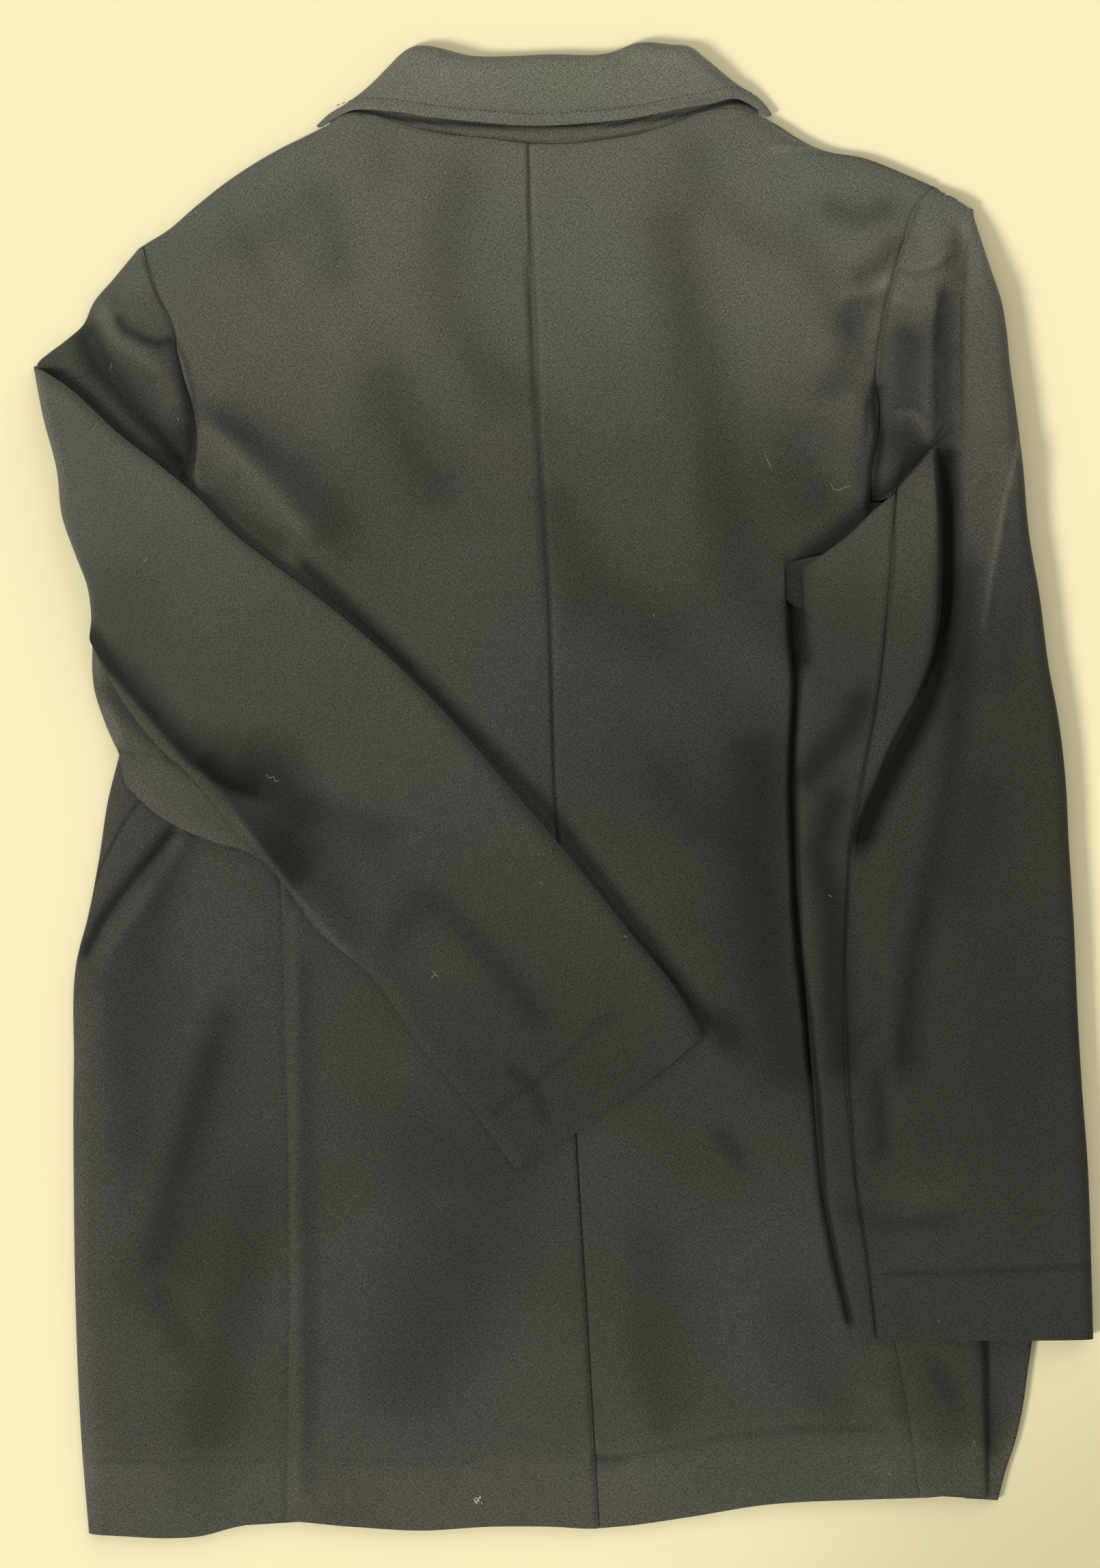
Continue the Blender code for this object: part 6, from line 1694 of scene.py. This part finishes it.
def distant_light(name, strength, spread, colour, towards):
    """A light from far away that shines in this direction."""
    data = bpy.data.lights.new(name, "SUN")
    data.energy = strength
    data.angle = spread
    data.color = colour
    made = bpy.data.objects.new(name, data)
    bpy.context.scene.collection.objects.link(made)
    made.rotation_euler = Vector(towards).to_track_quat("-Z", "Y").to_euler()
    return made


def lay_board():
    """The plain board that the blazer lies on."""
    bpy.ops.object.select_all(action="DESELECT")
    bpy.ops.mesh.primitive_plane_add(size=BOARD_SIZE, location=(0, 0, BOARD_LEVEL))
    board = bpy.context.object
    board.name = "board"
    bpy.ops.object.transform_apply(location=True, rotation=True, scale=True)
    board.data.materials.append(look_named("cream board", cream_board))
    return board


def hang_camera():
    """The camera, which looks straight down."""
    data = bpy.data.cameras.new("camera above")
    data.sensor_width = CAMERA_SENSOR
    data.lens = CAMERA_LENS
    camera = bpy.data.objects.new("camera above", data)
    camera.location = CAMERA_PLACE
    bpy.context.scene.collection.objects.link(camera)
    bpy.context.scene.camera = camera


def stage(look):
    """The board, the lights and the camera."""
    scene = bpy.context.scene
    board = lay_board()
    level = math.radians(look.sun_height)
    towards = (math.cos(WINDOW_BEARING) * math.cos(level), math.sin(WINDOW_BEARING) * math.cos(level),
               -math.sin(level))
    window = distant_light("low window", look.sun, WINDOW_SPREAD, WINDOW_COLOUR, towards)
    wall = distant_light("far wall", look.fill, WALL_SPREAD, WALL_COLOUR, WALL_TOWARDS)
    world = bpy.data.worlds.new("even room light")
    world.use_nodes = True
    background = world.node_tree.nodes["Background"]
    background.inputs["Color"].default_value = ROOM_COLOUR
    background.inputs["Strength"].default_value = look.room
    scene.world = world
    scene.view_settings.view_transform = "Standard"
    hang_camera()


class BLAZER_PG_cloth(bpy.types.PropertyGroup):
    """How the cloth looks."""

    yarn: FloatProperty(name="Yarn", description="Width of a yarn", default=0.0004, min=0.0001,
                        subtype="DISTANCE")
    float_length: FloatProperty(name="Float", description="Length of yarn that shows between crossings",
                                default=0.0012, min=0.0002, subtype="DISTANCE")
    patch_size: FloatProperty(name="Patch size", description="Size of the nap's lighter and darker patches",
                              default=0.09, min=0.01, subtype="DISTANCE")
    sheen: FloatProperty(name="Sheen", description="How much the nap catches light", default=0.05, min=0.0,
                         max=1.0, subtype="FACTOR")


class BLAZER_PG_stage(bpy.types.PropertyGroup):
    """How the stage is lit."""

    sun: FloatProperty(name="Window light", description="Strength of the low light", default=2.7, min=0.0)
    sun_height: FloatProperty(name="Light height", description="Degrees of the low light above the board",
                              default=35.0, min=1.0, max=90.0)
    fill: FloatProperty(name="Wall light", description="Strength of the light back from the far wall",
                        default=0.8, min=0.0)
    room: FloatProperty(name="Room light", description="Strength of the even light", default=0.55, min=0.0)


class BLAZER_OT_back(bpy.types.Operator):
    """Lay the back's two halves and the vent's underlap"""

    bl_idname = "blazer.back"
    bl_label = "Back"
    bl_options = {"REGISTER", "UNDO"}

    def execute(self, context):
        back_panels()
        vent_underlap()
        return {"FINISHED"}


class BLAZER_OT_sides(bpy.types.Operator):
    """Lay the side panels"""

    bl_idname = "blazer.sides"
    bl_label = "Side panels"
    bl_options = {"REGISTER", "UNDO"}

    def execute(self, context):
        side_left()
        side_right()
        return {"FINISHED"}


class BLAZER_OT_fronts(bpy.types.Operator):
    """Lay the fronts and their turned-back lapels"""

    bl_idname = "blazer.fronts"
    bl_label = "Fronts and lapels"
    bl_options = {"REGISTER", "UNDO"}

    def execute(self, context):
        front_left()
        front_right()
        lapels()
        return {"FINISHED"}


class BLAZER_OT_collar(bpy.types.Operator):
    """Lay the collar's fall and stand"""

    bl_idname = "blazer.collar"
    bl_label = "Collar"
    bl_options = {"REGISTER", "UNDO"}

    def execute(self, context):
        collar_fall()
        collar_stand()
        return {"FINISHED"}


class BLAZER_OT_right_sleeve(bpy.types.Operator):
    """Lay the right sleeve"""

    bl_idname = "blazer.right_sleeve"
    bl_label = "Right sleeve"
    bl_options = {"REGISTER", "UNDO"}

    def execute(self, context):
        under_sleeve_right()
        sleeve_head_right()
        upper_sleeve_right()
        return {"FINISHED"}


class BLAZER_OT_left_sleeve(bpy.types.Operator):
    """Fold the left sleeve across the back"""

    bl_idname = "blazer.left_sleeve"
    bl_label = "Left sleeve"
    bl_options = {"REGISTER", "UNDO"}

    def execute(self, context):
        upper_sleeve_left()
        under_sleeve_left()
        sleeve_head_left()
        return {"FINISHED"}


class BLAZER_OT_stitching(bpy.types.Operator):
    """Sew the collar's row of stitches"""

    bl_idname = "blazer.stitching"
    bl_label = "Stitching"
    bl_options = {"REGISTER", "UNDO"}

    def execute(self, context):
        collar_stitching()
        return {"FINISHED"}


class BLAZER_OT_fibres(bpy.types.Operator):
    """Scatter the loose fibres and the tuft"""

    bl_idname = "blazer.fibres"
    bl_label = "Loose fibres"
    bl_options = {"REGISTER", "UNDO"}

    def execute(self, context):
        trees = cloth_trees()
        stray_fibres(trees)
        fluff_tuft(trees)
        return {"FINISHED"}


class BLAZER_OT_stage(bpy.types.Operator):
    """Set the board, the lights and the camera"""

    bl_idname = "blazer.stage"
    bl_label = "Stage"
    bl_options = {"REGISTER", "UNDO"}

    def execute(self, context):
        stage(context.scene.blazer_stage)
        return {"FINISHED"}


OPERATORS = (BLAZER_OT_back, BLAZER_OT_sides, BLAZER_OT_fronts, BLAZER_OT_collar, BLAZER_OT_right_sleeve,
             BLAZER_OT_left_sleeve, BLAZER_OT_stitching, BLAZER_OT_fibres, BLAZER_OT_stage)


class BLAZER_PT_steps(bpy.types.Panel):
    """The steps that lay and dress the blazer"""

    bl_label = "Blazer"
    bl_idname = "BLAZER_PT_steps"
    bl_space_type = "VIEW_3D"
    bl_region_type = "UI"
    bl_category = "Blazer"

    def draw(self, context):
        for look in (context.scene.blazer_cloth, context.scene.blazer_stage):
            for name in look.bl_rna.properties.keys():
                if name not in ("rna_type", "name"):
                    self.layout.prop(look, name)
        for operator in OPERATORS:
            self.layout.operator(operator.bl_idname)


CLASSES = (BLAZER_PG_cloth, BLAZER_PG_stage, *OPERATORS, BLAZER_PT_steps)


def register():
    for item in CLASSES:
        bpy.utils.register_class(item)
    bpy.types.Scene.blazer_cloth = PointerProperty(type=BLAZER_PG_cloth)
    bpy.types.Scene.blazer_stage = PointerProperty(type=BLAZER_PG_stage)


def unregister():
    del bpy.types.Scene.blazer_stage
    del bpy.types.Scene.blazer_cloth
    for item in reversed(CLASSES):
        bpy.utils.unregister_class(item)


def main():
    register()
    bpy.ops.blazer.back()
    bpy.ops.blazer.sides()
    bpy.ops.blazer.fronts()
    bpy.ops.blazer.collar()
    bpy.ops.blazer.right_sleeve()
    bpy.ops.blazer.left_sleeve()
    bpy.ops.blazer.stitching()
    bpy.ops.blazer.fibres()
    bpy.ops.blazer.stage()


if __name__ == "__main__":
    main()
